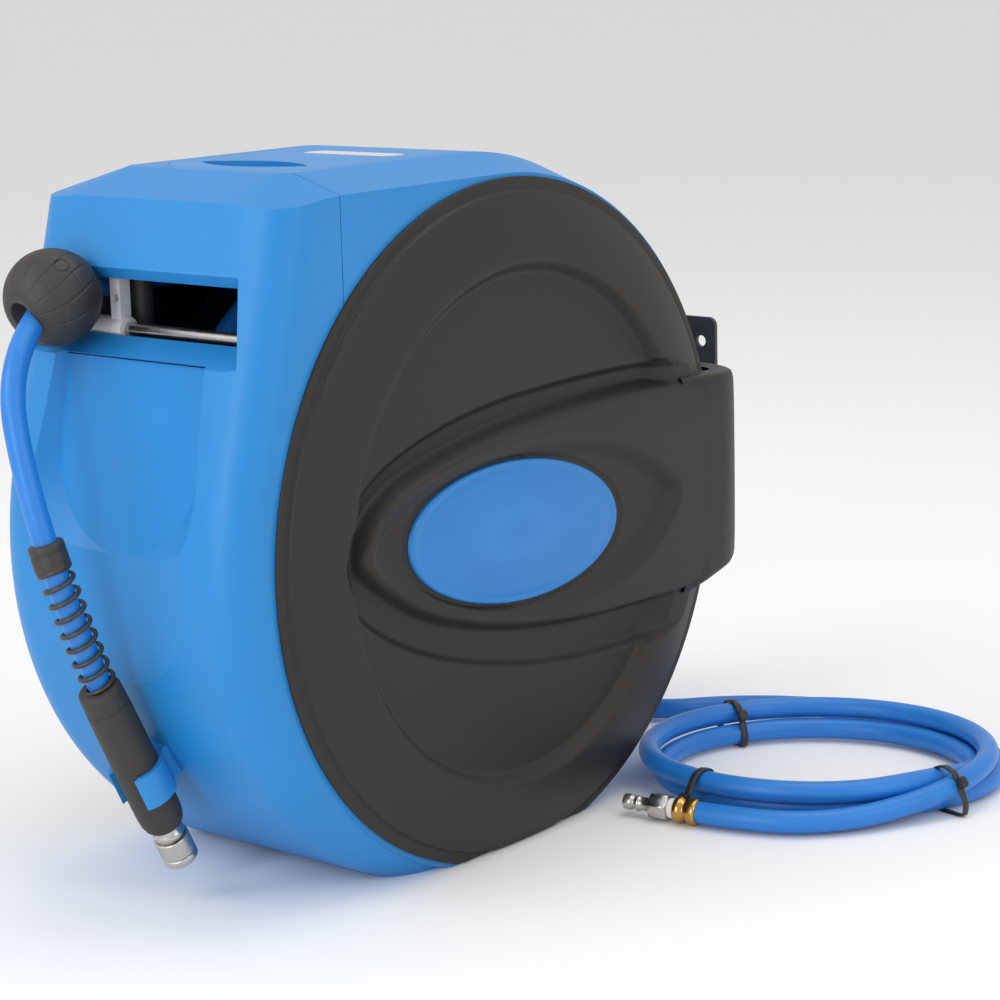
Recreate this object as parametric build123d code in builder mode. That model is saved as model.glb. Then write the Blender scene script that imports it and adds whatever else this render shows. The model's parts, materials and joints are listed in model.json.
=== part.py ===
"""Enclosed automatic air hose reel, as an assembly of separate pieces.

Millimetres. +Z is up, the hose leaves the front (-Y), and the drum turns about X.
The origin is on the floor, straight below the middle of the drum's axle.
"""

from build123d import *
from math import cos, hypot, pi, radians, sin, tan
import os

os.makedirs("parts", exist_ok=True)

# ---------------------------------------------------------------- driving dimensions
# Case
axis_height = 200.0          # drum axis above the floor
rim_radius = 211.0           # case at its two flat sides
crown_radius = 222.0         # case along the middle
case_half_width = 100.0      # middle plane to a flat side
crown_half_width = 66.0      # where the sloped shoulder starts
rear_reach = 300.0            # how far helper solids run past the rear
wall = 3.5
front_top_y = -188.0         # front wall, run on up to the top plane
front_lean = 15.0            # degrees that the front wall leans out on its way down
front_turn_height = 260.0    # where the front wall starts to curve in
toe_y = -105.0               # front edge of the flat base
corner_radius = 28.0         # upright corners, side wall to front wall
side_opening_radius = 185.0
seam_y = -145.0              # joint line between the front and rear shells
seam_turn_height = 290.0
seam_foot_y = 62.0
seam_gap = 0.6
# Hose slot in the front wall
slot_half_width = 72.0
slot_bottom = 331.0
slot_top = 363.5
slot_throat_y = -196.0       # inner end of the throat
slot_flare_y = -216.0        # plane on which the flared mouth is measured
slot_flare = 12.0            # how far the mouth grows at the sides
slot_flare_top = 23.0
slot_flare_bottom = 11.0
# Scooped panel below the slot
scoop_half_width = 76.0
scoop_inner_half_width = 56.0
scoop_bottom = 178.0
scoop_inner_bottom = 212.0
scoop_floor_top_y = -206.5   # floor of the scoop at the slot
scoop_floor_foot_y = -229.0  # and where it turns upright
scoop_channel_radius = 180.0
# Side covers
cover_radius = 208.6
cover_flange = 3.0
dome_radius = 201.0
dome_edge = 5.0
dome_height = 14.5
dish_radius = 160.0
dish_floor_radius = 150.0
dish_floor = 7.0
cover_wall = 3.0
cover_floor_gap = 1.0
spigot_length = 9.0
spigot_wall = 3.2
spigot_gap = 0.4
boss_radius = 19.0
boss_start = {"right": 88.0, "left": 97.0}
boss_bore_end = {"right": 99.0, "left": 103.2}
# Wrap-round arms on the covers
arm_stand_off = 17.0         # outer face of an arm beyond the case's flat side
arm_rear_y = 245.0
arm_corner_radius = 45.0
arm_wall = 8.0
arm_shelf = 4.0              # top and bottom walls of an arm
arm_tip_y = -152.0
arm_top = 70.0               # above the drum axis
arm_bottom = -76.0           # below the drum axis
arm_end_x = 12.0
# Oval plates
badge_length = 200.0
badge_width = 87.0
badge_y = -9.0
badge_z = -2.0
badge_tilt = -5.3
badge_thickness = 3.0
badge_bevel = 1.2
badge_sink = 7.0
rear_oval_length = 176.0
rear_oval_width = 84.0
# Drum
axle_radius = 12.0
axle_bore_radius = 5.0
axle_right_end = 98.0
axle_shoulder_x = -76.0
axle_spigot_radius = 9.0
axle_spigot_length = 12.0
bush_radius = 16.0
bush_length = 14.0
drum_core_radius = 88.0
drum_core_wall = 5.0
drum_web = 6.0
drum_half_width = 58.0
flange_radius = 165.0
flange_thickness = 4.0
hose_diameter = 14.0
wrap_pitch = 14.3
wrap_count = 8
wound_radius = 150.0
running_gap = 0.05           # radial gap of a running fit
swivel_x = -24.0
swivel_radius = 24.0
swivel_length = 26.0
swivel_seal_offset = 8.0
swivel_nipple_radius = 7.0
swivel_seal = 3.0
side_gap = 0.4               # gap beside faces that turn past each other
# Mainspring
spring_case_radius = 82.0
spring_case_depth = 22.0
spring_case_wall = 2.0
arbor_radius = 17.0
spring_width = 15.0
spring_strip = 1.2
spring_pitch = 5.5
spring_half_turns = 20
# Ratchet
ratchet_radius = 60.0
ratchet_root_radius = 52.0
ratchet_inner_radius = 40.0
ratchet_teeth = 12
ratchet_thickness = 5.0
pawl_pin_radius = 3.0
pawl_pin_y = 62.0
pawl_pin_z = 66.0
# Level wind
screw_y = -178.0
screw_z = 300.0
screw_radius = 8.0
screw_journal_radius = 5.0
rod_y = -187.0
rod_z = 333.0
rod_radius = 4.0
pulley_radius = 22.0
pulley_width = 5.0
belt_thickness = 2.0
carriage_x = -54.0
carriage_half_width = 26.0
carriage_base_bottom = 325.4
carriage_base_top = 330.4
carriage_bridge_bottom = 372.0
carriage_bridge_top = 377.0
nut_half_width = 12.0
post_offset = 20.0
post_width = 8.0
post_hole_z = 351.0
post_hole_radius = 2.5
rod_sleeve_radius = 7.0
roller_radius = 8.0
roller_offset = 16.2
roller_pin_radius = 2.0
roller_y = -168.0
nut_bottom = 288.0
nut_gap = 0.4
screw_left_end = -68.0       # ends of the full-diameter part of the screw
screw_right_end = 76.0
pulley_x = -75.0             # outer face of both belt pulleys
belt_gap = 0.4               # belt to pulley
guide_plate_x = 81.0
guide_plate_thickness = 5.0
guide_front_y = -200.0
guide_rear_y = -160.0
guide_bottom = 284.0
guide_top = 345.0
shoe_length = 24.0
shoe_height = 6.0
# Ball stop on the outlet hose
ball_radius = 28.0
ball_centre = Vector(-52.0, -222.0, 350.0)
ball_axis = Vector(0.0, -1.0, 0.0)
ball_hose_axis = Vector(0.11, -0.98, -0.17).normalized()
ball_flat = 24.5             # centre to each flat face
ball_split_gap = 0.0
ball_screw_offset = 14.5
ball_screw_along = 10.0
ball_screw_radius = 1.5
ball_screw_head = 3.0
ball_screw_depth = 9.0
ball_seat = 10.0
feed_run_in = 38.0           # last corner of the hose to the ball centre
outlet_run_out = 62.0        # ball centre to the first corner outside it
outlet_knee = Vector(-15.5, -291.5, 247.0)
# Outlet end: hand grip, spring guard, quick coupler
grip_centre = Vector(4.0, -225.0, 80.0)
grip_axis = Vector(0.0, 0.44, -0.898).normalized()
grip_up = 68.0               # grip above its clip
grip_down = 44.0
grip_radius = 13.5
guard_length = 90.0
guard_radius = 10.4
guard_socket = 12.0
coupler_radius = 9.4
coupler_length = 26.0
coupler_bore_radius = 5.0
coupler_bore_depth = 20.0
coupler_lip = 5.0
sleeve_radius = 10.6
sleeve_length = 12.0
clip_width = 22.0
clip_thickness = 3.0
clip_mouth = 17.0
clip_root_width = 15.0
clip_root_reach = 40.0
clip_root_side = -1.0
# Inlet end
gland_x = -82.0
gland_z = 60.0
gland_inner_end = 150.0
gland_outer_end = 186.0
gland_radius = 9.0
gland_nut_radius = 13.0
elbow_x = -85.0
elbow_body_radius = 13.0
elbow_reach = 34.0
elbow_nipple_radius = 6.0
elbow_heading = Vector(0, 0.5, -0.866).normalized()
inlet_join_y = 174.0
floor_hose_z = 8.6
tie_angles = (155.0, -10.0, -98.0)
coil_centre = Vector(184.0, 214.0, 0.0)
coil_inner_radius = 94.5
coil_outer_radius = 123.5
coil_foot = 1.6              # a cable tie's thickness above the floor
coil_height = 27.0
tie_width = 4.8
tie_thickness = 1.3
tie_head = 7.0
plug_end = Vector(178.0, 79.5, 9.0)
ferrule_radius = 8.4
ferrule_length = 15.0
tape_radius = 6.2
tape_length = 4.0
hex_radius = 8.6
hex_length = 14.0
nipple_radius = 5.2
nipple_length = 18.0
# Hinge and wall bracket
hinge_y = 266.0
hinge_pin_radius = 4.0
knuckle_radius = 9.0
knuckle_height = 16.0
ear_height = 58.0            # middle of each ear above or below the drum axis
ear_half_width = 22.0
ear_plate = 3.0
bracket_y = 310.0
bracket_plate = 3.0
bracket_half_width = 38.0
bracket_half_height = 82.0
bracket_hole_radius = 4.0
bracket_hole_x = 26.0
bracket_hole_z = 65.0
lug_thickness = 8.0
ear_screw_x = 16.0
ear_screw_radius = 2.0
ear_screw_head = 3.6
# Top plate
plate_half_width = 57.0
plate_front_y = -141.0
plate_rear_y = 14.0
plate_corner_radius = 34.0
plate_depth = 1.8
plate_gap = 0.5
well_y = -108.0
well_length = 84.0
well_width = 34.0
well_depth = 22.0
well_wall = 2.0
label_length = 74.0
label_width = 20.0
label_depth = 0.8
label_x = 6.0
label_y = -28.0

# ---------------------------------------------------------------- worked out from them
top_z = axis_height + crown_radius
front_slope = tan(radians(front_lean))
front_turn_y = front_top_y - front_slope * (top_z - front_turn_height)
shoulder_slope = (crown_radius - rim_radius) / (case_half_width - crown_half_width)
drum_axis = Axis((0, 0, axis_height), (1, 0, 0))
hose_radius = hose_diameter / 2
spigot_radius = side_opening_radius - spigot_gap
flange_outer_x = drum_half_width + flange_thickness
carriage_rear_y = roller_y + roller_radius + 2.0
arm_outer_x = case_half_width + arm_stand_off


def up(radius_y, radius_z):
    """A point of the side view, given from the drum axis."""
    return (radius_y, axis_height + radius_z)


def front_wall_y(height):
    """Outside of the leaning front wall at a height."""
    return front_top_y - front_slope * (top_z - height)


# ---------------------------------------------------------------- solids shared by pieces
def roof_block(inset):
    """Everything below the sloped shoulders that run round the case's top."""
    rise = 30.0
    run = rise / shoulder_slope
    level_top = top_z - inset
    front_edge = front_top_y + case_half_width - crown_half_width + 3
    with BuildPart() as roof:
        for level, spread in ((level_top, 0.0), (level_top - rise, run)):
            depth = rear_reach - front_edge + 2 * spread
            with BuildSketch(Plane.XY.offset(level)):
                with Locations((0, (rear_reach + front_edge) / 2)):
                    RectangleRounded(2 * (crown_half_width + spread), depth, 12 + spread)
        loft(ruled=True)
        with BuildSketch(Plane.XY.offset(-1)):
            Rectangle(4 * rear_reach, 4 * rear_reach)
        extrude(amount=level_top - rise + 1)
    return roof.part


def case_block(inset):
    """The case as a filled solid, moved inwards by inset all over."""
    half = case_half_width - inset
    with BuildPart() as block:
        with BuildSketch(Plane.YZ):
            with BuildLine():
                top = Line((inset, top_z), (front_top_y, top_z))
                front = Line(top @ 1, (front_turn_y, front_turn_height))
                chin = TangentArc(front @ 1, (toe_y, 0), tangent=front % 1)
                Polyline(chin @ 1, (inset, 0), (inset, top_z))
            make_face()
            if inset:
                offset(amount=-inset, kind=Kind.INTERSECTION)
        extrude(amount=half, both=True)
        on_side = block.edges().filter_by(lambda e: abs(abs(e.center().X) - half) < 0.01)
        corners = on_side.filter_by(lambda e: e.center().Y < toe_y - 40)
        fillet(corners, corner_radius - inset)
        add(roof_block(inset), mode=Mode.INTERSECT)
        split(bisect_by=Plane.XZ, keep=Keep.TOP)
        with BuildSketch(Plane.XZ):
            with BuildLine():
                Polyline(
                    (-half, axis_height),
                    up(-half, rim_radius - inset),
                    up(-crown_half_width, crown_radius - inset),
                    up(crown_half_width, crown_radius - inset),
                    up(half, rim_radius - inset),
                    (half, axis_height),
                    close=True,
                )
            make_face()
        revolve(axis=drum_axis)
        split(bisect_by=Plane.XY.offset(inset), keep=Keep.TOP)
    return block.part


def side_prism(points, reach):
    """A prism along X over a side-view polygon, reaching both ways."""
    with BuildPart() as prism:
        with BuildSketch(Plane.YZ):
            with BuildLine():
                Polyline(*points, close=True)
            make_face()
        extrude(amount=reach, both=True)
    return prism.part


def x_cylinder(radius, x_from, x_to, centre=(0.0, axis_height)):
    """A cylinder along X between two places."""
    with BuildPart() as cylinder:
        with BuildSketch(Plane.YZ.offset(x_from)):
            with Locations(centre):
                Circle(radius)
        extrude(amount=x_to - x_from)
    return cylinder.part


def slot_mouth(grow, run_in):
    """The hose slot's flared mouth, grown all round and run inwards past its throat."""
    half = slot_half_width + grow
    low = slot_bottom - grow
    high = slot_top + grow
    with BuildPart() as mouth:
        with BuildSketch(Plane.XZ.offset(-slot_throat_y)):
            with Locations((0, (low + high) / 2)):
                Rectangle(2 * half, high - low)
        with BuildSketch(Plane.XZ.offset(-slot_flare_y)):
            flared_low = low - slot_flare_bottom
            flared_high = high + slot_flare_top
            with Locations((0, (flared_low + flared_high) / 2)):
                Rectangle(2 * (half + slot_flare), flared_high - flared_low)
        loft(ruled=True)
        with BuildSketch(Plane.XZ.offset(-slot_throat_y)):
            with Locations((0, (low + high) / 2)):
                Rectangle(2 * half, high - low)
        extrude(amount=-run_in)
    return mouth.part


def scoop():
    """The hollow below the slot: a leaning panel that ends in an upright channel."""
    floor_slope = (scoop_floor_top_y - scoop_floor_foot_y) / (slot_bottom - scoop_inner_bottom)
    mouth_top = slot_bottom - slot_flare_bottom + 2
    outer_plane = Plane.XZ.offset(250)
    foot = (0, scoop_floor_foot_y, scoop_inner_bottom)
    floor_plane = Plane(foot, x_dir=(1, 0, 0), z_dir=(0, -1, floor_slope))
    panel_height = (mouth_top - scoop_inner_bottom) * hypot(1, floor_slope)
    with BuildPart() as panel:
        for plane, half, low, high in (
            (outer_plane, scoop_half_width + 4, scoop_bottom - 4, mouth_top),
            (floor_plane, scoop_inner_half_width, 0, panel_height),
        ):
            with BuildSketch(plane):
                with BuildLine():
                    left = Line((-half, high), (-half, low + half))
                    low_arc = TangentArc(left @ 1, (half, low + half), tangent=left % 1)
                    Polyline(low_arc @ 1, (half, high), (-half, high))
                make_face()
        loft(ruled=True)
    with BuildPart() as channel:
        with BuildSketch(Plane.XY.offset(axis_height - crown_radius)):
            with Locations((0, scoop_floor_foot_y - scoop_channel_radius)):
                Circle(scoop_channel_radius)
        extrude(amount=front_turn_height - axis_height + crown_radius)
    return panel.part + channel.part


def dome(sink):
    """A side cover's outer form about the drum axis, lowered by sink; +X side."""
    base = case_half_width
    with BuildPart() as form:
        with BuildSketch(Plane.XZ):
            with BuildLine():
                floor = Line(
                    (base, axis_height),
                    (base + dish_floor - sink, axis_height),
                )
                inner = Line(floor @ 1, (base + dish_floor - sink, axis_height + dish_floor_radius))
                step = Line(inner @ 1, (base + dome_height - sink, axis_height + dish_radius))
                crown = ThreePointArc(
                    step @ 1,
                    (base + dome_height - 2.5 - sink, axis_height + (dish_radius + dome_radius) / 2 + 3),
                    (base + dome_edge - sink, axis_height + dome_radius - sink),
                )
                Polyline(crown @ 1, (base, axis_height + dome_radius - sink), (base, axis_height))
            make_face()
        revolve(axis=drum_axis)
    return form.part


def cover_form():
    """Dome and flange of the +X cover as one filled solid, flat at the foot."""
    with BuildPart() as form:
        add(dome(0))
        with BuildSketch(Plane.YZ.offset(case_half_width)):
            with Locations((0, axis_height)):
                Circle(cover_radius)
        extrude(amount=cover_flange)
        split(bisect_by=Plane.XY.offset(cover_floor_gap), keep=Keep.TOP)
    return form.part


def arm_outline(grow):
    """Side view of an arm: a pointed leaf that widens towards the rear."""
    with BuildSketch(Plane.YZ) as outline:
        with BuildLine():
            tip = up(arm_tip_y - grow, 8)
            upper = Spline(
                tip,
                up(-105, 49 + grow),
                up(-23, 64 + grow),
                up(90, arm_top + grow),
                up(arm_rear_y + 20, 62 + grow),
            )
            lower = Spline(
                tip,
                up(-96, -40 - grow),
                up(-28, -61 - grow),
                up(115, arm_bottom - grow),
                up(arm_rear_y + 20, -62 - grow),
            )
            Line(upper @ 1, lower @ 1)
        make_face()
    return outline.sketch


def oval(length, width, plane, thickness, bevel):
    """An oval plate with a bevelled edge, raised along the plane's normal."""
    with BuildPart() as plate:
        with BuildSketch(plane):
            Ellipse(length / 2, width / 2)
        extrude(amount=thickness)
        rim = plate.edges().filter_by(lambda e: plane.to_local_coords(e.center()).Z > thickness - 0.01)
        chamfer(rim, bevel)
    return plate.part


def rod_between(start, end, radius):
    """A round bar from one point to another."""
    run = end - start
    with BuildPart() as bar:
        with BuildSketch(Plane(start, z_dir=run)):
            Circle(radius)
        extrude(amount=run.length)
    return bar.part


# ---------------------------------------------------------------- case shells
outside = case_block(0)
inside = case_block(wall)
side_openings = x_cylinder(side_opening_radius, -rear_reach, rear_reach)
front_region = side_prism(
    [
        (-rear_reach, -10),
        (-rear_reach, top_z + 10),
        (seam_y, top_z + 10),
        (seam_y, seam_turn_height),
        (seam_foot_y, -10),
    ],
    rear_reach,
)
rear_region = side_prism(
    [
        (rear_reach, -10),
        (rear_reach, top_z + 10),
        (seam_y + seam_gap, top_z + 10),
        (seam_y + seam_gap, seam_turn_height),
        (seam_foot_y + seam_gap, -10),
    ],
    rear_reach,
)
scoop_backing = side_prism(
    [
        (front_wall_y(slot_bottom), slot_bottom - slot_flare_bottom),
        (scoop_floor_top_y + wall, slot_bottom - slot_flare_bottom),
        (scoop_floor_foot_y + wall, scoop_inner_bottom),
        (scoop_floor_foot_y + wall, axis_height + arm_bottom),
        (-rear_reach, axis_height + arm_bottom),
    ],
    scoop_half_width + 2 * wall,
)


def plate_seat(gap, depth):
    """The rounded seat of the top plate, grown by gap and sunk by depth."""
    front_y = plate_front_y - gap
    with BuildPart() as seat:
        with BuildSketch(Plane.XY.offset(top_z - depth)) as outline:
            with Locations((0, (plate_front_y + plate_rear_y) / 2)):
                Rectangle(2 * (plate_half_width + gap), plate_rear_y - plate_front_y + 2 * gap)
            front = outline.vertices().filter_by(lambda v: abs(v.Y - front_y) < 0.01)
            fillet(front, plate_corner_radius + gap)
        extrude(amount=depth + 5)
    return seat.part


def lens(length, width, bottom, height):
    """A pointed oval, as a finger well has, standing on a level."""
    bulge = width / 2
    with BuildPart() as leaf:
        with BuildSketch(Plane.XY.offset(bottom)):
            with BuildLine():
                ThreePointArc((-length / 2, well_y), (0, well_y + bulge), (length / 2, well_y))
                ThreePointArc((length / 2, well_y), (0, well_y - bulge), (-length / 2, well_y))
            make_face()
        extrude(amount=height)
    return leaf.part


well_bottom = top_z - well_depth
well_clearance = lens(
    well_length + 4 * well_wall, well_width + 4 * well_wall, well_bottom - 10, well_depth + 20
)


def y_cylinder(radius, y_from, y_to, x, z):
    """A cylinder along Y between two places."""
    with BuildPart() as cylinder:
        with BuildSketch(Plane.XZ.offset(-y_from)):
            with Locations((x, z)):
                Circle(radius)
        extrude(amount=y_from - y_to)
    return cylinder.part


gland_hole = y_cylinder(gland_radius + 0.4, gland_inner_end, gland_outer_end, gland_x, gland_z)

with BuildPart() as front_shell:
    add(outside)
    add(inside, mode=Mode.SUBTRACT)
    add(scoop_backing.intersect(outside))
    add(slot_mouth(wall, 0.5).intersect(outside))
    add(slot_mouth(0, 30), mode=Mode.SUBTRACT)
    add(scoop(), mode=Mode.SUBTRACT)
    add(side_openings, mode=Mode.SUBTRACT)
    add(plate_seat(plate_gap, plate_depth), mode=Mode.SUBTRACT)
    add(well_clearance, mode=Mode.SUBTRACT)
    add(front_region, mode=Mode.INTERSECT)
front_shell.part.label = "front_shell"
export_step(front_shell.part, "parts/front_shell.step")

with BuildPart() as rear_shell:
    add(outside)
    add(inside, mode=Mode.SUBTRACT)
    add(side_openings, mode=Mode.SUBTRACT)
    add(plate_seat(plate_gap, plate_depth), mode=Mode.SUBTRACT)
    add(well_clearance, mode=Mode.SUBTRACT)
    add(rear_region, mode=Mode.INTERSECT)
    add(gland_hole, mode=Mode.SUBTRACT)
rear_shell.part.label = "rear_shell"
export_step(rear_shell.part, "parts/rear_shell.step")

# ---------------------------------------------------------------- top plate and blank labels
with BuildPart() as top_plate:
    add(plate_seat(0, plate_depth).intersect(outside))
    add(lens(well_length + 2 * well_wall, well_width + 2 * well_wall, well_bottom, well_depth))
    add(
        lens(well_length, well_width, well_bottom + well_wall, well_depth),
        mode=Mode.SUBTRACT,
    )
    with BuildSketch(Plane.XY.offset(top_z - label_depth)):
        with Locations((label_x, label_y)):
            SlotOverall(label_length, label_width)
    extrude(amount=label_depth + 1, mode=Mode.SUBTRACT)
top_plate.part.label = "top_plate"
export_step(top_plate.part, "parts/top_plate.step")

with BuildPart() as top_label:
    with BuildSketch(Plane.XY.offset(top_z - label_depth)):
        with Locations((label_x, label_y)):
            SlotOverall(label_length, label_width)
    extrude(amount=label_depth - 0.1)
top_label.part.label = "top_label"
export_step(top_label.part, "parts/top_label.step")

# ---------------------------------------------------------------- side covers and arms
def right_spigot():
    """Ring that centres a cover in the case's side opening."""
    start = case_half_width - spigot_length
    reach = case_half_width + dome_height
    ring = x_cylinder(spigot_radius, start, reach) - x_cylinder(
        spigot_radius - spigot_wall, start, reach
    )
    return ring.intersect(dome(1) + x_cylinder(spigot_radius, start, case_half_width + 1))


def right_arm():
    """Leaf-shaped arm on the +X cover that wraps round the case's rear corner."""
    with BuildPart() as arm:
        for shrink, side_x, rear_y, radius, mode in (
            (0.0, arm_outer_x, arm_rear_y, arm_corner_radius, Mode.ADD),
            (
                arm_shelf,
                case_half_width + cover_flange + 0.2,
                arm_rear_y - arm_wall,
                arm_corner_radius - arm_wall,
                Mode.SUBTRACT,
            ),
        ):
            add(arm_block(shrink, side_x, rear_y, radius), mode=mode)
        add(outside, mode=Mode.SUBTRACT)
        add(cover_form(), mode=Mode.SUBTRACT)
        add(badge_seat, mode=Mode.SUBTRACT)
    return arm.part


def arm_block(shrink, side_x, rear_y, radius):
    """The arm's outline run along X, with the plan of the case's rear corner."""
    with BuildPart() as plan:
        with BuildSketch(Plane.XY):
            with Locations((0, rear_y - rear_reach)):
                RectangleRounded(2 * side_x, 2 * rear_reach, radius)
        extrude(amount=top_z)
    outline = arm_outline(-shrink)
    with BuildPart() as block:
        extrude(outline, amount=rear_reach, dir=(1, 0, 0))
        add(plan.part, mode=Mode.INTERSECT)
        split(bisect_by=Plane.YZ.offset(arm_end_x), keep=Keep.TOP)
    return block.part


badge_plane = Plane(
    (arm_outer_x - badge_sink, badge_y, axis_height + badge_z),
    x_dir=(0, cos(radians(badge_tilt)), sin(radians(badge_tilt))),
    z_dir=(1, 0, 0),
)
badge_seat = oval(badge_length + 1, badge_width + 1, badge_plane, badge_sink + 5, 0.1)
cover_right = cover_form() - dome(cover_wall) + right_spigot()
arm_right = right_arm()
badge_right = oval(badge_length, badge_width, badge_plane, badge_thickness, badge_bevel)
for side, facing in (("right", 1), ("left", -1)):
    start = boss_start[side]
    with BuildPart() as side_cover:
        add(cover_right)
        add(x_cylinder(boss_radius, start, case_half_width + dish_floor - 1))
        add(x_cylinder(axle_radius, start, boss_bore_end[side]), mode=Mode.SUBTRACT)
    cover = side_cover.part if facing > 0 else side_cover.part.mirror(Plane.YZ)
    cover.label = f"side_cover_{side}"
    export_step(cover, f"parts/side_cover_{side}.step")

    with BuildPart() as side_arm:
        add(arm_right)
    arm = side_arm.part if facing > 0 else side_arm.part.mirror(Plane.YZ)
    arm.label = f"side_arm_{side}"
    export_step(arm, f"parts/side_arm_{side}.step")

with BuildPart() as badges:
    add(badge_right)
    mirror(about=Plane.YZ)
badges.part.label = "badges"
export_step(badges.part, "parts/badges.step")

with BuildPart() as rear_oval:
    rear_plane = Plane((0, arm_rear_y, axis_height), x_dir=(1, 0, 0), z_dir=(0, 1, 0))
    add(oval(rear_oval_length, rear_oval_width, rear_plane, badge_thickness, badge_bevel))
rear_oval.part.label = "rear_oval"
export_step(rear_oval.part, "parts/rear_oval.step")

# ---------------------------------------------------------------- axle, bushes and drum
with BuildPart() as axle:
    add(x_cylinder(axle_radius, axle_shoulder_x, axle_right_end))
    add(x_cylinder(axle_spigot_radius, axle_shoulder_x - axle_spigot_length, axle_shoulder_x))
    bore_start = axle_shoulder_x - axle_spigot_length
    add(x_cylinder(axle_bore_radius, bore_start, swivel_x), mode=Mode.SUBTRACT)
    with BuildSketch(Plane.XY.offset(axis_height)):
        with Locations((swivel_x - axle_bore_radius, 0)):
            Circle(axle_bore_radius - 1)
    extrude(amount=2 * axle_radius, both=True, mode=Mode.SUBTRACT)
axle.part.label = "axle"
export_step(axle.part, "parts/axle.step")

bush_starts = (-drum_half_width, drum_half_width - bush_length)
with BuildPart() as drum_bushes:
    for start in bush_starts:
        add(x_cylinder(bush_radius, start, start + bush_length))
        add(
            x_cylinder(axle_radius + running_gap, start, start + bush_length),
            mode=Mode.SUBTRACT,
        )
drum_bushes.part.label = "drum_bushes"
export_step(drum_bushes.part, "parts/drum_bushes.step")

with BuildPart() as drum_core:
    add(x_cylinder(drum_core_radius, -drum_half_width, drum_half_width))
    add(
        x_cylinder(
            drum_core_radius - drum_core_wall,
            -drum_half_width + drum_web,
            drum_half_width - drum_web,
        ),
        mode=Mode.SUBTRACT,
    )
    add(x_cylinder(bush_radius + 6, -drum_half_width, -drum_half_width + bush_length))
    add(x_cylinder(bush_radius + 6, drum_half_width - bush_length, drum_half_width))
    add(x_cylinder(bush_radius, -drum_half_width, drum_half_width), mode=Mode.SUBTRACT)
drum_core.part.label = "drum_core"
export_step(drum_core.part, "parts/drum_core.step")

with BuildPart() as drum_flanges:
    for facing in (1, -1):
        with BuildSketch(Plane.YZ.offset(facing * drum_half_width)):
            with Locations((0, axis_height)):
                Circle(flange_radius)
                Circle(bush_radius + 2, mode=Mode.SUBTRACT)
        extrude(amount=facing * flange_thickness)
    rims = drum_flanges.edges().filter_by(GeomType.CIRCLE).group_by(SortBy.RADIUS)[-1]
    fillet(rims, 1.2)
drum_flanges.part.label = "drum_flanges"
export_step(drum_flanges.part, "parts/drum_flanges.step")

with BuildPart() as wound_hose:
    first = -wrap_pitch * wrap_count / 2
    root = axis_height + wound_radius - hose_radius
    with BuildSketch(Plane.XZ):
        with BuildLine():
            for wrap in range(wrap_count):
                left = first + wrap * wrap_pitch
                ThreePointArc(
                    (left, root),
                    (left + wrap_pitch / 2, root + hose_radius),
                    (left + wrap_pitch, root),
                )
            inner = axis_height + drum_core_radius
            Polyline((-first, root), (-first, inner), (first, inner), (first, root))
        make_face()
    revolve(axis=drum_axis)
wound_hose.part.label = "wound_hose"
export_step(wound_hose.part, "parts/wound_hose.step")

# ---------------------------------------------------------------- mainspring, case and arbor
spring_case_start = flange_outer_x
spring_case_end = spring_case_start + spring_case_depth
with BuildPart() as spring_case:
    add(x_cylinder(spring_case_radius, spring_case_start, spring_case_end - spring_case_wall))
    add(
        x_cylinder(
            spring_case_radius - spring_case_wall,
            spring_case_start + spring_case_wall,
            spring_case_end,
        ),
        mode=Mode.SUBTRACT,
    )
    add(
        x_cylinder(arbor_radius + side_gap, spring_case_start, spring_case_end),
        mode=Mode.SUBTRACT,
    )
spring_case.part.label = "spring_case"
export_step(spring_case.part, "parts/spring_case.step")

with BuildPart() as spring_lid:
    add(x_cylinder(spring_case_radius, spring_case_end - spring_case_wall, spring_case_end))
    add(
        x_cylinder(arbor_radius + side_gap, spring_case_start, spring_case_end),
        mode=Mode.SUBTRACT,
    )
spring_lid.part.label = "spring_lid"
export_step(spring_lid.part, "parts/spring_lid.step")

with BuildPart() as spring_arbor:
    add(x_cylinder(arbor_radius, spring_case_start + 1, spring_case_end - 0.5))
    add(x_cylinder(axle_radius, spring_case_start, spring_case_end), mode=Mode.SUBTRACT)
spring_arbor.part.label = "spring_arbor"
export_step(spring_arbor.part, "parts/spring_arbor.step")

first_radius = (
    spring_case_radius
    - spring_case_wall
    - spring_strip / 2
    - spring_pitch / 4
    - (spring_half_turns - 1) * spring_pitch / 2
)


def spring_side(shift):
    """Half-turn arcs along one face of the spring strip, from inside to outside."""
    arcs = []
    for turn in range(spring_half_turns):
        side = 1 if turn % 2 == 0 else -1
        middle = -side * spring_pitch / 4
        radius = first_radius + turn * spring_pitch / 2 + shift
        arcs.append((up(middle + side * radius, 0), up(middle, side * radius), up(middle - side * radius, 0)))
    return arcs


with BuildPart() as mainspring:
    with BuildSketch(Plane.YZ.offset(spring_case_start + spring_case_wall)):
        with BuildLine():
            outer_arcs = spring_side(spring_strip / 2)
            inner_arcs = spring_side(-spring_strip / 2)
            for arc in outer_arcs + inner_arcs:
                ThreePointArc(*arc)
            Line(outer_arcs[0][0], inner_arcs[0][0])
            Line(outer_arcs[-1][2], inner_arcs[-1][2])
        make_face()
    extrude(amount=spring_width)
mainspring.part.label = "mainspring"
export_step(mainspring.part, "parts/mainspring.step")

# ---------------------------------------------------------------- air swivel inside the drum
def seal_rings(bore):
    """Two square-section seals round the axle, either side of its air port."""
    with BuildPart() as rings:
        for offset_x in (-swivel_seal_offset, swivel_seal_offset):
            middle = swivel_x + offset_x
            add(x_cylinder(axle_radius + swivel_seal, middle - 1.5, middle + 1.5))
        add(x_cylinder(bore, -case_half_width, case_half_width), mode=Mode.SUBTRACT)
    return rings.part


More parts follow.
